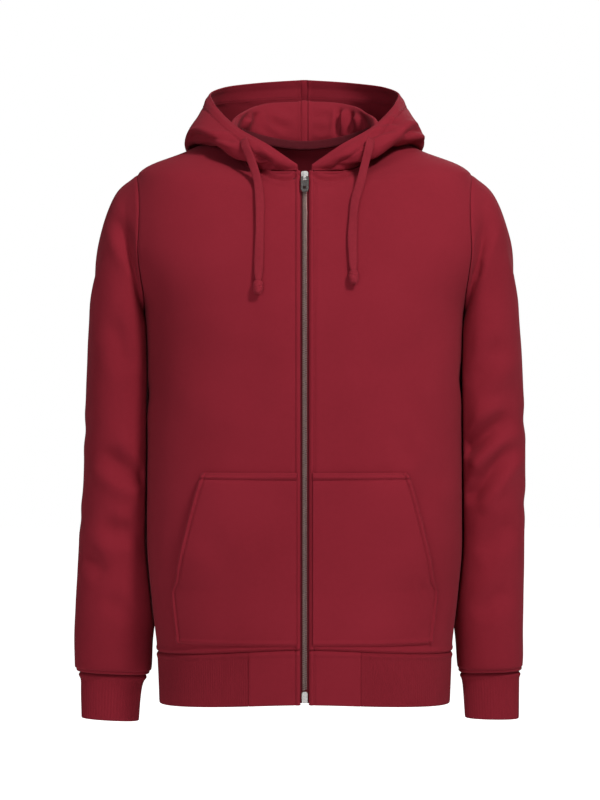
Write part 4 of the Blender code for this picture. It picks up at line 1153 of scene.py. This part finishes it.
sleeveCreases = {
    "right": [
        crease("front", 9, 7.0, [(-0.241, -0.105), (-0.226, -0.142), (-0.211, -0.172), (-0.203, -0.205)],
               ridge=0.25),
        crease("front", 14, 4.5, [(-0.250, -0.235), (-0.232, -0.275), (-0.218, -0.320)]),
        crease("front", 13, 7.5, [(-0.262, -0.405), (-0.240, -0.424), (-0.220, -0.438), (-0.196, -0.442)],
               ridge=0.5, fadeOut=0.1),
        crease("front", 12, 5.0, [(-0.262, -0.500), (-0.240, -0.512), (-0.206, -0.512)], ridge=0.5),
        crease("front", 11, 4.0, [(-0.282, -0.535), (-0.266, -0.556), (-0.250, -0.572)]),
        crease("front", 11, 2.2, [(-0.256, -0.590), (-0.235, -0.610), (-0.210, -0.622)]),
        crease("right", 12, 1.4, [(-0.040, -0.360), (0.000, -0.385), (0.045, -0.372)]),
        crease("right", 11, 1.2, [(-0.035, -0.470), (0.005, -0.500), (0.040, -0.490)]),
        crease("right", 15, 2.4, [(-0.050, -0.150), (-0.010, -0.185), (0.030, -0.230)]),
        crease("back", 11, 4.6, [(-0.262, -0.120), (-0.236, -0.165), (-0.214, -0.200)]),
        crease("back", 10, 4.0, [(-0.272, -0.360), (-0.245, -0.378), (-0.212, -0.372)], ridge=0.5),
        crease("back", 9, 3.4, [(-0.276, -0.435), (-0.248, -0.448), (-0.214, -0.436)], ridge=0.5),
        crease("back", 10, 2.4, [(-0.280, -0.560), (-0.252, -0.585), (-0.215, -0.592)]),
    ],
    "left": [
        crease("front", 8, 6.5, [(0.238, -0.106), (0.222, -0.150), (0.208, -0.190), (0.203, -0.225)],
               ridge=0.25),
        crease("front", 5, 2.6, [(0.222, -0.168), (0.218, -0.184), (0.211, -0.198)]),
        crease("front", 13, 10.5, [(0.272, -0.362), (0.238, -0.384), (0.196, -0.412)],
               ridge=0.5, fadeOut=0.1),
        crease("front", 11, 9.0, [(0.276, -0.386), (0.244, -0.424), (0.204, -0.478)],
               ridge=0.5, fadeOut=0.15),
        crease("front", 20, 4.0, [(0.280, -0.318), (0.252, -0.338), (0.218, -0.352)]),
        crease("front", 14, 4.5, [(0.250, -0.262), (0.230, -0.300), (0.204, -0.330)]),
        crease("front", 14, 4.4, [(0.272, -0.495), (0.246, -0.516), (0.218, -0.545)]),
        crease("front", 13, 4.0, [(0.264, -0.580), (0.240, -0.600), (0.212, -0.622)]),
        crease("left", 12, 1.4, [(-0.045, -0.352), (0.000, -0.372), (0.040, -0.360)]),
        crease("left", 11, 1.1, [(-0.038, -0.455), (0.005, -0.478), (0.042, -0.470)]),
        crease("left", 15, 2.4, [(-0.048, -0.140), (-0.008, -0.180), (0.034, -0.220)]),
        crease("back", 11, 4.6, [(0.260, -0.125), (0.236, -0.172), (0.214, -0.205)]),
        crease("back", 10, 4.0, [(0.270, -0.345), (0.242, -0.366), (0.212, -0.360)], ridge=0.5),
        crease("back", 9, 3.4, [(0.272, -0.425), (0.246, -0.440), (0.214, -0.430)], ridge=0.5),
        crease("back", 10, 2.4, [(0.272, -0.555), (0.246, -0.575), (0.212, -0.580)]),
    ],
}


# Points round one ring of a sleeve, from its inner point forwards
def sleeveRing(ring, side, columns):
    ring = dict(zip(sleeveFields, ring))
    turn = 2 * math.pi * np.arange(columns) / columns
    across, along = -np.cos(turn), -np.sin(turn)
    reach = (np.abs(across) ** ring["square"] + np.abs(along) ** ring["square"]) ** (-1 / ring["square"])
    middleX, middleZ = (ring["outerX"] + ring["innerX"]) / 2, (ring["outerZ"] + ring["innerZ"]) / 2
    halfX, halfZ = (ring["outerX"] - ring["innerX"]) / 2, (ring["outerZ"] - ring["innerZ"]) / 2
    x = side * (middleX + halfX * reach * across)
    z = middleZ + halfZ * reach * across
    y = reach * along * ring["halfDepth"] - ring["forward"]
    return np.stack([x, y, z], -1)


# Points and directions round the armhole, from the underarm up the front and down the back
def armholeRing(side, columns):
    step = np.arange(columns)
    level = underarm + (shoulder - underarm) * (1 - np.cos(2 * math.pi * step / columns)) / 2
    angle = np.where(step > columns / 2, 180 - sideAngle(level), sideAngle(level))
    return bodyPoint(side * angle, level), bodyNormal(side * angle, level)


def ringsBetween(rings, stations, side, columns):
    table = np.array(rings)
    mixed = np.stack([smoothThrough(table[:, k], stations) for k in range(table.shape[1])], -1)
    return np.array([sleeveRing(tuple(row), side, columns) for row in mixed])


# A tube's rows run so that its faces point outwards
def facedOut(rows):
    normals = gridNormals(rows, closed=True)
    if ((rows - rows.mean(axis=1, keepdims=True)) * normals).sum() < 0:
        rows = rows[:, ::-1].copy()
        normals = gridNormals(rows, closed=True)
    return rows, normals


def makeSleeve(hand, materials):
    print("sleeve", hand)
    side = handSide[hand]
    rings = upperSleeve + lowerSleeve[hand]
    last = len(rings) - 1
    fine = np.linspace(0, last, 300)
    table = np.array(rings)
    line = np.stack([smoothThrough(table[:, 0], fine), smoothThrough(table[:, 1], fine)], -1)
    length = runningLength(line)
    shares = seamStations(length[-1], cloth["middleStep"])
    stations = np.interp(shares * length[-1], length, fine)
    columns = sleeve["columns"]
    rows = ringsBetween(rings, stations, side, columns)
    edge, edgeNormals = armholeRing(side, columns)
    along = np.roll(edge, -1, axis=0) - np.roll(edge, 1, axis=0)
    away = unit(np.cross(edgeNormals, along)) * -side
    edge = edge + (away + edgeNormals * 0.8) * cloth["gap"]
    blend = (1 - ease(stations, 0, 0.85))[:, None, None]
    rows = rows + (edge - rows[0])[None] * blend
    rests = np.minimum(sleeve["rest"], sleeve["restStep"] * shares)
    rows[1:] = keptOff(rows[1:], rests[1:])
    rows, normals = facedOut(rows)
    distances = edgeDistances(rows)
    height = withCreases(rows, normals, sleeveCreases[hand])
    height = height + softWaves(rows, 0.9 * mm, 0.13, 31 + side) + softWaves(rows, 0.3 * mm, 0.05, 33)
    height = height * ease(distances["bottom"], 0, 28 * mm) * ease(distances["top"], 2 * mm, 22 * mm)
    inward = ease(-normals[..., 0] * side, 0.35, 0.8)          # keeps clear of the body's side
    height = np.where(height > 0, height * (1 - inward), height)
    height = height + edgeShape(distances["bottom"], "armhole") + edgeShape(distances["top"], "turned")
    moved = rows + normals * height[..., None]
    moved[1:] = keptOff(moved[1:], rests[1:] * 0.6)
    normals = gridNormals(moved, closed=True)
    around = np.arange(columns)[None, :] / columns * sleeve["girth"] * np.ones(len(rows))[:, None]
    grain = np.stack([around, distances["bottom"]], -1)
    piece = clothWall(f"sleeve_{hand}_cloth", moved, normals, cloth["fleece"], materials["fleece"], closed=True,
                      grain=grain, lengthAcross=sleeve["girth"] / columns)
    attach(piece, "garment")
    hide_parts(f"sleeve_{hand}")
    closedRows = np.concatenate([moved, moved[:, :1]], axis=1)
    closedNormals = np.concatenate([normals, normals[:, :1]], axis=1)
    addStitches("sleeves", closedRows, closedNormals, "top", sleeve["stitch"])


def makeCuff(hand, materials, ribTree):
    print("cuff", hand)
    side = handSide[hand]
    columns = cuff["ribs"] * rib["columns"]
    stations = seamStations(cuff["height"], cuff["rowStep"]) * (len(cuffRings[hand]) - 1)
    rows, normals = facedOut(ringsBetween(cuffRings[hand], stations, side, columns)[::-1])
    distances = edgeDistances(rows)
    waves = softWaves(rows, 0.5 * mm, 0.07, 41 + side) * ease(distances["top"], 0, 20 * mm)
    height = edgeShape(distances["top"], "seam") + waves
    rows = rows + normals * height[..., None]
    piece = ribWall(f"cuff_{hand}_cloth", rows, normals, distances, materials, ribTree, cuff["ribs"], True)
    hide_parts(f"cuff_{hand}")


# hood: two halves that meet in a seam over the head, lying back with their mouth up

hoodAngles = (5.2, 25, 50, 75, 105, 130, 155, 180)
hoodLines = {       # the points of each section after the neck seam, from the front round to the back
    "rise": [(0.0093, -0.1012, -0.0568), (0.0430, -0.0932, -0.0560), (0.0710, -0.0630, -0.0430),
             (0.0860, -0.0230, -0.0020), (0.0830, 0.0230, 0.0120), (0.0670, 0.0530, 0.0120),
             (0.0400, 0.0740, 0.0100), (0.0000, 0.0820, 0.0110)],
    "ridge": [(0.0094, -0.1017, -0.0559), (0.0440, -0.0965, -0.0530), (0.0760, -0.0700, -0.0400),
              (0.0880, -0.0220, 0.0060), (0.0760, 0.0420, 0.0270), (0.0630, 0.0730, 0.0360),
              (0.0400, 0.0915, 0.0415), (0.0000, 0.0970, 0.0430)],
    "bottom": [(0.0095, -0.1021, -0.0551), (0.0450, -0.1010, -0.0500), (0.0850, -0.0900, -0.0440),
               (0.1150, -0.0560, -0.0240), (0.1330, 0.0450, -0.0250), (0.1150, 0.1250, -0.0620),
               (0.0680, 0.1530, -0.1080), (0.0000, 0.1600, -0.1220)],
    "full": [(0.0096, -0.1024, -0.0543), (0.0455, -0.1035, -0.0430), (0.0930, -0.0930, -0.0300),
             (0.1300, -0.0560, -0.0130), (0.1505, 0.0250, -0.0225), (0.1460, 0.1240, -0.0280),
             (0.0880, 0.1820, -0.0480), (0.0000, 0.1930, -0.0500)],
    "rim": [(0.0097, -0.1027, -0.0532), (0.0430, -0.0980, -0.0300), (0.0880, -0.0580, 0.0000),
            (0.1160, 0.0020, 0.0340), (0.1229, 0.0580, 0.0519), (0.1048, 0.1150, 0.0670),
            (0.0592, 0.1550, 0.0771), (0.0000, 0.1700, 0.0825)],
}
hood = {"length": 360 * mm, "step": 3.4 * mm, "rest": 5.2 * mm, "restStep": 16 * mm, "centreInset": 5 * mm,
        "tunnel": 24 * mm, "rowGap": 3 * mm}
# A hood crease also says which stretch of each section it lies on, from 0 at the neck to 1 at the rim
hoodCreases = {
    "left": [
        crease("back", 3.5, -5.0, [(0.046, 0.036), (0.044, 0.012), (0.040, -0.012)],
               fadeIn=0.2, on=(0.05, 0.36)),
        crease("back", 3.6, 6.5, [(0.055, 0.034), (0.053, 0.010), (0.048, -0.012)],
               fadeIn=0.2, on=(0.05, 0.36)),
        crease("back", 3.4, -5.5, [(0.063, 0.030), (0.061, 0.010), (0.055, -0.010)],
               fadeIn=0.2, on=(0.05, 0.36)),
        crease("back", 4.0, 6.0, [(0.072, 0.024), (0.071, 0.006), (0.064, -0.010)],
               fadeIn=0.2, on=(0.05, 0.36)),
        crease("back", 4.0, 3.2, [(0.042, 0.004), (0.022, -0.002), (0.004, 0.004)],
               ridge=0.6, on=(0.05, 0.36)),
        crease("back", 5.0, -2.0, [(0.040, 0.022), (0.022, 0.026), (0.004, 0.020)], on=(0.05, 0.36)),
        crease("top", 20, 8.0, [(0.012, 0.098), (0.042, 0.092), (0.072, 0.066)],
               ridge=0.0, fadeOut=0.2, on=(0.08, 0.50)),
        crease("left", 4, 4.6, [(-0.075, -0.016), (-0.045, -0.004), (-0.010, -0.002)],
               ridge=0.6, on=(0.50, 0.96)),
        crease("left", 4, 4.2, [(-0.060, -0.030), (-0.030, -0.020), (0.010, -0.018)],
               ridge=0.6, on=(0.50, 0.96)),
        crease("front", 3.6, 3.8, [(0.076, -0.020), (0.098, -0.008), (0.118, -0.006)],
               ridge=0.6, on=(0.50, 0.96)),
        crease("front", 3.6, 3.4, [(0.088, -0.004), (0.108, 0.004), (0.122, 0.002)],
               ridge=0.5, on=(0.50, 0.96)),
        crease("front", 4, 3.4, [(0.062, -0.044), (0.050, -0.049), (0.036, -0.055)],
               ridge=0.5, on=(0.10, 0.80)),
        crease("left", 9, 4.0, [(0.050, -0.010), (0.085, -0.030), (0.120, -0.050)], on=(0.50, 1.0)),
        crease("back", 9, 3.6, [(0.020, 0.030), (0.050, 0.010), (0.085, -0.008)],
               ridge=0.5, on=(0.55, 1.0)),
        crease("back", 9, 3.6, [(0.014, -0.050), (0.042, -0.075), (0.075, -0.082)],
               ridge=0.4, on=(0.50, 1.0)),
        crease("back", 7, 2.6, [(0.060, 0.040), (0.078, 0.018), (0.102, 0.004)], on=(0.55, 1.0)),
    ],
    "right": [
        crease("back", 5, 8.0, [(-0.076, 0.020), (-0.078, 0.006), (-0.070, -0.010)],
               fadeIn=0.2, on=(0.05, 0.36)),
        crease("back", 5, -4.0, [(-0.064, 0.030), (-0.060, 0.012), (-0.052, 0.000)],
               fadeIn=0.2, on=(0.05, 0.36)),
        crease("back", 5, 3.4, [(-0.054, 0.018), (-0.038, 0.004), (-0.020, -0.002)],
               ridge=0.6, on=(0.05, 0.36)),
        crease("back", 6, 2.4, [(-0.048, 0.032), (-0.028, 0.022), (-0.010, 0.022)],
               ridge=0.6, on=(0.05, 0.36)),
        crease("back", 3.5, -2.4, [(-0.060, -0.008), (-0.034, -0.012), (-0.008, -0.006)], on=(0.05, 0.36)),
        crease("right", 4, 4.0, [(-0.080, -0.020), (-0.050, -0.012), (-0.012, -0.014)],
               ridge=0.6, on=(0.50, 0.96)),
        crease("front", 4, 3.2, [(-0.082, -0.024), (-0.105, -0.018), (-0.130, -0.022)],
               ridge=0.6, on=(0.50, 0.96)),
        crease("front", 5, 6.5, [(-0.064, -0.041), (-0.053, -0.047), (-0.040, -0.055)],
               ridge=0.4, on=(0.10, 0.80)),
        crease("right", 9, 4.0, [(0.040, -0.004), (0.080, -0.022), (0.112, -0.048)], on=(0.50, 1.0)),
        crease("back", 10, 3.4, [(-0.016, 0.022), (-0.052, 0.004), (-0.088, -0.018)],
               ridge=0.5, on=(0.55, 1.0)),
        crease("back", 8, 3.2, [(-0.018, -0.062), (-0.048, -0.080), (-0.080, -0.078)],
               ridge=0.4, on=(0.50, 1.0)),
    ],
}


def hoodGrid():
    start, gap = hoodAngles[0], cloth["gap"]
    share = seamStations(hood["length"], hood["step"], low=False)
    angles = start + (180 - start) * share
    fractions = seamStations(hood["length"], hood["step"])
    neck = bodyPoint(angles, float(neckline))
    neckNormals = bodyNormal(angles, float(neckline))
    rise = unit(neck - bodyPoint(angles, neckline - 0.1))
    first = neck - neckNormals * (cloth["fleece"] / 2) + rise * (2 * gap)
    sections = [np.stack([smoothThrough([p[axis] for p in line], angles, hoodAngles) for axis in range(3)], -1)
                for line in hoodLines.values()]
    grid = np.zeros((len(fractions), len(angles), 3))
    for column in range(len(angles)):
        through = np.array([first[column]] + [section[column] for section in sections])
        grid[:, column] = curveThrough(through, fractions)
    rest = np.minimum(hood["rest"], hood["restStep"] * fractions + 0.4 * mm)
    grid[1:] = keptOff(grid[1:], rest[1:])
    grid[:, -1, 0] = 0.03 * mm
    normals = gridNormals(grid)
    normals[0] = neckNormals
    normals[:, -1, 0] = 0
    normals[:, -1] = unit(normals[:, -1])
    return grid + normals * (cloth["fleece"] / 2), normals, fractions


def makeHood(hand, grid, normals, fractions, materials):
    print("hood", hand)
    side = handSide[hand]
    if side < 0:
        mirror = np.array([-1.0, 1.0, 1.0])
        grid, normals = (grid * mirror)[:, ::-1].copy(), (normals * mirror)[:, ::-1].copy()
    centre, tip = ("right", "left") if side > 0 else ("left", "right")
    distances = edgeDistances(grid)
    height = np.zeros(grid.shape[:2])
    for fold in hoodCreases[hand]:
        low, high = fold["on"]
        on = ease(fractions, low - 0.05, low + 0.03) * (1 - ease(fractions, high - 0.03, high + 0.05))
        height = height + creaseShape(grid, normals, fold) * on[:, None]
    height = height + softWaves(grid, 1.0 * mm, 0.10, 51 + side) + softWaves(grid, 0.35 * mm, 0.04, 53)
    height = height * ease(distances["bottom"], 1 * mm, 10 * mm) * ease(distances["top"], -4 * mm, 14 * mm)
    height = height * ease(distances[centre], 0, 14 * mm) * ease(distances[tip], 0, 40 * mm)
    height = height + edgeShape(distances["bottom"], "seam") + edgeShape(distances["top"], "rim")
    height = height + edgeShape(distances[centre], "topstitched")
    moved = grid + normals * height[..., None]
    piece = clothWall(f"hood_{hand}_cloth", moved, normals, cloth["fleece"], materials["fleece"],
                      freeEdges=("top", tip))
    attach(piece, "garment")
    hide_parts(f"hood_{hand}")
    inside = moved - normals * (cloth["fleece"] + 0.5 * mm)
    for face, facing in ((moved, normals), (inside, -normals)):
        addStitches("hood", face, facing, "top", hood["tunnel"])
        addStitches("hood", face, facing, "top", hood["tunnel"] - hood["rowGap"])
        addStitches("hood", face, facing, centre, hood["centreInset"], 0.04)


hoodSeam = {"halfWidth": 4.2 * mm, "crown": 0.9 * mm, "thickness": 0.7 * mm}


# The seam allowance inside the hood's centre: a narrow raised band over the seam
def makeHoodSeam(grid, normals, materials):
    line = grid[:, -1] - normals[:, -1] * (cloth["fleece"] + 0.1 * mm)
    facing = -normals[:, -1]
    across = np.linspace(-1, 1, 9)
    crown = hoodSeam["crown"] * (1 - np.abs(across) ** 4)
    points = line[:, None] + np.array([1.0, 0, 0]) * (across * hoodSeam["halfWidth"])[None, :, None]
    points = (points + facing[:, None] * crown[None, :, None])[4:-1]
    directions = np.broadcast_to(facing[4:-1, None], points.shape)
    if (gridNormals(points) * directions).sum() < 0:
        points = points[:, ::-1].copy()
    piece = clothWall("hood_seam_cover", points, directions.copy(), hoodSeam["thickness"], materials["fleece"],
                      freeEdges=("left", "right"))
    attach(piece, "garment")


neckTape = {"inset": 3.6 * mm, "halfHeight": 5.2 * mm, "bulge": 0.5 * mm, "stitch": 1.6 * mm}


def makeNeckTape(materials):
    print("neck tape")
    angles = np.linspace(104, 256, 160)
    edge = bodyPoint(angles, float(neckline))
    outward = unit(edge * np.array([1.0, 1.0, 0.0]))
    heights = np.linspace(-neckTape["halfHeight"], neckTape["halfHeight"], 9)
    bulge = neckTape["bulge"] * (1 - np.abs(heights / neckTape["halfHeight"]) ** 3)
    base = edge - outward * neckTape["inset"]
    grid = base[None] + np.array([0, 0, 1.0]) * heights[:, None, None] - outward[None] * bulge[:, None, None]
    inward = np.broadcast_to(outward[None], grid.shape).copy()
    wave = softWaves(grid, 0.3 * mm, 0.05, 61)
    grid = grid + inward * wave[..., None]
    piece = clothWall("neck_tape_cloth", grid, inward, cloth["tape"], materials["tape"],
                      freeEdges=("bottom", "top"))
    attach(piece, "garment")
    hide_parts("neck_tape")
    inside = grid - inward * (cloth["tape"] + 0.1 * mm)
    for edge in ("bottom", "top"):
        addStitches("neck", inside, -inward, edge, neckTape["stitch"])


# kangaroo pocket, one half on each front

pocket = {"centreX": 10 * mm, "gap": 0.8 * mm, "fullness": 7 * mm, "topHem": 8.5 * mm, "topPuff": 1.7 * mm,
          "mouthHem": 6 * mm, "mouthPuff": 1.3 * mm, "groove": 1.5 * mm, "height": 212 * mm, "width": 145 * mm,
          "edgeStitch": 1.8 * mm, "topStitch": 9 * mm, "mouthStitch": 7 * mm}
pocketLevels = [      # height, outer edge, how far the mouth stands open
    (-0.6500, 0.1585, 0.0), (-0.6150, 0.1625, 0.0), (-0.5840, 0.1655, 0.0), (-0.5720, 0.1590, 0.3),
    (-0.5400, 0.1515, 0.9), (-0.5050, 0.1435, 1.0), (-0.4700, 0.1350, 0.95), (-0.4450, 0.1285, 0.55),
    (-0.4360, 0.1260, 0.0),
]
pocketCreases = [
    crease("front", 3.5, 1.1, [(0.140, -0.562), (0.146, -0.585), (0.156, -0.608)], ridge=0.6),
    crease("front", 15, 1.2, [(-0.120, -0.585), (-0.095, -0.610), (-0.060, -0.618)]),
    crease("front", 14, 1.2, [(0.045, -0.590), (0.085, -0.607), (0.120, -0.600)]),
    crease("front", 16, 1.3, [(-0.130, -0.500), (-0.110, -0.530), (-0.105, -0.560)]),
    crease("front", 16, 1.3, [(0.128, -0.490), (0.108, -0.520), (0.100, -0.560)]),
]


# A turned edge of the pocket: a rounded lip, and a groove where it is stitched down
def pocketEdge(distance, hemWidth, puff):
    lip = puff * np.exp(-((distance - hemWidth * 0.5) / (hemWidth * 0.32)) ** 2)
    groove = pocket["groove"] * np.exp(-((distance - hemWidth) / (1.3 * mm)) ** 2)
    return lip - groove - 0.35 * mm * np.exp(-(distance / (1.0 * mm)) ** 2)


def makePocket(hand, materials):
    print("pocket", hand)
    side = handSide[hand]
    heights, outers, mouths = (np.array(column) for column in zip(*pocketLevels))
    height = heights[0] + (heights[-1] - heights[0]) * seamStations(pocket["height"], 3.2 * mm)
    outer, mouth = np.interp(height, heights, outers), smoothThrough(mouths, height, heights)
    share = seamStations(pocket["width"], 3.4 * mm)
    across = pocket["centreX"] + (outer[:, None] - pocket["centreX"]) * share[None, :]
    angle, level = frontAt(across, np.broadcast_to(height[:, None], across.shape))
    normals = bodyNormal(angle, level)
    stand = np.clip(mouth, 0, 1)[:, None] * pocket["fullness"] * np.sin(math.pi / 2 * share[None, :]) ** 2
    grid = bodyPoint(angle, level) + normals * (pocket["gap"] + cloth["fleece"] + stand)[..., None]
    if side < 0:
        mirror = np.array([-1.0, 1.0, 1.0])
        grid, normals = (grid * mirror)[:, ::-1].copy(), (normals * mirror)[:, ::-1].copy()
        stand = stand[:, ::-1]
    mouthEdge, zipSide = ("right", "left") if side > 0 else ("left", "right")
    distances = edgeDistances(grid)
    rise = withCreases(grid, normals, pocketCreases) + softWaves(grid, 0.5 * mm, 0.09, 71 + side)
    for edge in ("top", "bottom", zipSide):
        rise = rise * ease(distances[edge], 0, 22 * mm)
    rise = np.maximum(rise, -stand - 0.5 * mm)
    rise = rise + pocketEdge(distances["top"], pocket["topHem"], pocket["topPuff"])
    rise = rise + pocketEdge(distances[mouthEdge], pocket["mouthHem"], pocket["mouthPuff"])
    rise = rise + 0.9 * mm * np.exp(-((distances["bottom"] - 4 * mm) / (2.5 * mm)) ** 2)
    rise = rise - 1.6 * mm * np.exp(-(distances["bottom"] / (1.6 * mm)) ** 2)
    moved = grid + normals * rise[..., None]
    piece = clothWall(f"pocket_{hand}_cloth", moved, normals, cloth["fleece"], materials["fleece"],
                      freeEdges=("top", mouthEdge))
    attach(piece, "garment")
    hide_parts(f"pocket_{hand}")
    addStitches("pockets", moved, normals, "top", pocket["edgeStitch"])
    addStitches("pockets", moved, normals, "top", pocket["topStitch"])
    addStitches("pockets", moved, normals, mouthEdge, pocket["mouthStitch"], 0.28, 1.0)
    addStitches("pockets", moved, normals, mouthEdge, pocket["edgeStitch"], 0.0, 0.36)


# zip

zipper = {
    "tapeHalfWidth": 14 * mm, "tapeDepth": cloth["rib"] + 3 * cloth["gap"], "foot": 0.02, "top": 9.94,
    "toothSpacing": 1.35 * mm, "toothReach": 2.8 * mm, "toothHead": 0.95 * mm, "toothWidth": 1.95 * mm,
    "toothThickness": 2.1 * mm, "depth": 1.85 * mm,
}


# Points of the zip's centre line with its outward directions
def zipLine(levels):
    points = bodyPoint(0.0, levels)
    above, below = np.minimum(levels + 0.05, neckline), np.maximum(levels - 0.05, 0)
    up = unit(bodyPoint(0.0, above) - bodyPoint(0.0, below))
    outward = np.array([0, -1.0, 0]) + up * up[:, 1:2]
    return points, unit(outward)


def makeZipTapes(materials):
    print("zip tapes")
    half = (zipper["tapeHalfWidth"] - cloth["gap"] / 2) / 2
    centre = zipper["tapeHalfWidth"] - half
    levels = np.linspace(zipper["foot"], zipper["top"], 220)
    points, outward = zipLine(levels)
    for hand, side in handSide.items():
        across = side * centre + np.linspace(-half, half, 9)
        bead = 0.8 * mm * np.exp(-((np.abs(across) - 1.6 * mm) / (1.1 * mm)) ** 2)
        grid = (points - outward * zipper["tapeDepth"])[:, None] + np.array([1.0, 0, 0]) * across[None, :, None]
        grid = grid + outward[:, None] * bead[None, :, None]
        normals = np.broadcast_to(outward[:, None], grid.shape).copy()
        piece = clothWall(f"zip_tape_{hand}_cloth", grid, normals, cloth["tape"], materials["tape"],
                          freeEdges=("left", "right"))
        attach(piece, "garment")
        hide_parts(f"zip_tape_{hand}")


# One metal tooth, its head over the centre line and its arms out along +Y
def makeToothShape():
    head, wide, thick = zipper["toothHead"], zipper["toothWidth"], zipper["toothThickness"]
    half = [(wide * 0.24, -head), (wide * 0.30, -head * 0.2), (wide * 0.26, head * 0.6),
            (wide * 0.5, head * 1.5), (wide * 0.5, zipper["toothReach"])]
    outline = half + [(-x, y) for x, y in reversed(half)]
    work = bmesh.new()
    face = work.faces.new([work.verts.new((x, y, -thick / 2)) for x, y in outline])
    raised = bmesh.ops.extrude_face_region(work, geom=[face])
    up = [item for item in raised["geom"] if isinstance(item, bmesh.types.BMVert)]
    bmesh.ops.translate(work, verts=up, vec=(0, 0, thick))
    bmesh.ops.recalc_face_normals(work, faces=work.faces)
    rims = [edge for edge in work.edges if all(v.co.z > 0 for v in edge.verts)]
    bmesh.ops.bevel(work, geom=rims, offset=0.25 * mm, segments=1, affect="EDGES")
    return smallShape("toothShape", work)


def makeZipChain(materials):
    print("zip teeth")
    low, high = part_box("zip_chain")
    fine = np.linspace(0, neckline, 2000)
    heights = bodyPoint(0.0, fine)[:, 2]
    levels = np.interp(np.linspace(low.z, high.z, 300), heights, fine)
    points, outward = zipLine(levels)
    line = points - outward * zipper["depth"]
    shape = makeToothShape()
    tree, names = makeRepeatTree("zipTeeth", True)
    carrier = lineMesh("zipLine", [(line, outward)])
    values = {names["Spacing"]: zipper["toothSpacing"], names["Shape"]: shape,
              names["Finish"]: materials["gunmetal"]}
    piece = madeByNodes(carrier, tree, values, "zip_teeth")
    bpy.data.objects.remove(shape, do_unlink=True)
    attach(piece, "garment")
    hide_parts("zip_chain")


# The slider, its pull and the box at the foot keep the frame's shapes
def finishZipMetal(materials):
    for name, finish in (("zip_slider", "nickel"), ("zip_pull", "steel"), ("zip_box", "nickel")):
        node = nodes[name]
        for slot in node.material_slots:
            slot.link = "OBJECT"
            slot.material = materials[finish]


# the studio

studio = {"floor": -1.15, "halfWidth": 14.0, "paper": (0.90, 0.90, 0.90), "glow": 0.06, "sky": 0.13,
          "shown": 1.0}
lamps = [       # name, place, what it faces, width, height, watts, colour
    ("keyLamp", (1.05, -1.7, 1.4), (0.0, 0.0, -0.20), 0.40, 0.40, 39, (1.0, 0.985, 0.97)),
    ("fillLamp", (-1.0, -3.4, 0.25), (0.0, 0.0, -0.30), 1.0, 1.2, 21, (0.97, 0.985, 1.0)),
    ("topLamp", (0.0, -0.6, 2.6), (0.0, 0.0, -0.10), 1.6, 1.2, 14, (1.0, 1.0, 1.0)),
    ("backLamp", (0.9, 3.2, 1.2), (0.0, 0.0, -0.25), 1.4, 1.4, 42, (1.0, 1.0, 1.0)),
]


# How bright a pale surface is: bright where it is seen, dim where it only lights the garment
def shownOrLit(tree, lit):
    rays = tree.nodes.new("ShaderNodeLightPath")
    return mathNode(tree, "MULTIPLY_ADD", rays.outputs["Is Camera Ray"], studio["shown"] - lit, lit)


def makeStudio():
    print("studio")
    half, level = studio["halfWidth"], studio["floor"]
    mesh = bpy.data.meshes.new("floor")
    corners = [(-half, -half, level), (half, -half, level), (half, half, level), (-half, half, level)]
    mesh.from_pydata(corners, [], [(0, 1, 2, 3)])
    floor = addObject("floor", mesh)
    material, tree, shader, place = startMaterial("paleFloor")
    grain = noiseNode(tree, place.outputs["Object"], 3.0, 2.0)
    light = studio["paper"]
    dark = tuple(c * 0.985 for c in light)
    tree.links.new(mixedColour(tree, grain, dark, light), shader.inputs["Base Color"])
    shader.inputs["Roughness"].default_value = 0.9
    shader.inputs["Specular IOR Level"].default_value = 0.1
    shader.inputs["Emission Color"].default_value = (1, 1, 1, 1)
    tree.links.new(shownOrLit(tree, studio["glow"]), shader.inputs["Emission Strength"])
    mesh.materials.append(material)
    world = bpy.data.worlds.new("paleWorld")
    world.use_nodes = True
    sky = world.node_tree.nodes["Background"]
    sky.inputs["Color"].default_value = (1.0, 1.0, 1.0, 1.0)
    world.node_tree.links.new(shownOrLit(world.node_tree, studio["sky"]), sky.inputs["Strength"])
    bpy.context.scene.world = world
    for name, at, towards, width, height, watts, colour in lamps:
        data = bpy.data.lights.new(name, "AREA")
        data.shape = "RECTANGLE"
        data.size, data.size_y = width, height
        data.energy = watts
        data.color = colour
        lamp = addObject(name, data)
        lamp.location = at
        lamp.rotation_euler = (Vector(towards) - Vector(at)).to_track_quat("-Z", "Y").to_euler()
    view = bpy.context.scene.view_settings
    view.view_transform = "Standard"
    view.look = "None"


makeCamera()
materials = makeMaterials()
for hand in handSide:
    makeCord(hand, materials)
ribTree = makeRibTree()
makeBody(materials)
makeHem(materials, ribTree)
hoodPoints, hoodNormals, hoodFractions = hoodGrid()
for hand in handSide:
    makeSleeve(hand, materials)
    makeCuff(hand, materials, ribTree)
    makeHood(hand, hoodPoints, hoodNormals, hoodFractions, materials)
    makePocket(hand, materials)
makeHoodSeam(hoodPoints, hoodNormals, materials)
makeNeckTape(materials)
makeZipTapes(materials)
makeZipChain(materials)
finishZipMetal(materials)
makeStitches(materials)
makeStudio()

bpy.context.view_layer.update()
triangles = 0
for piece in pieces.values():
    piece.data.calc_loop_triangles()
    triangles += len(piece.data.loop_triangles)
print("finished", triangles, "triangles")
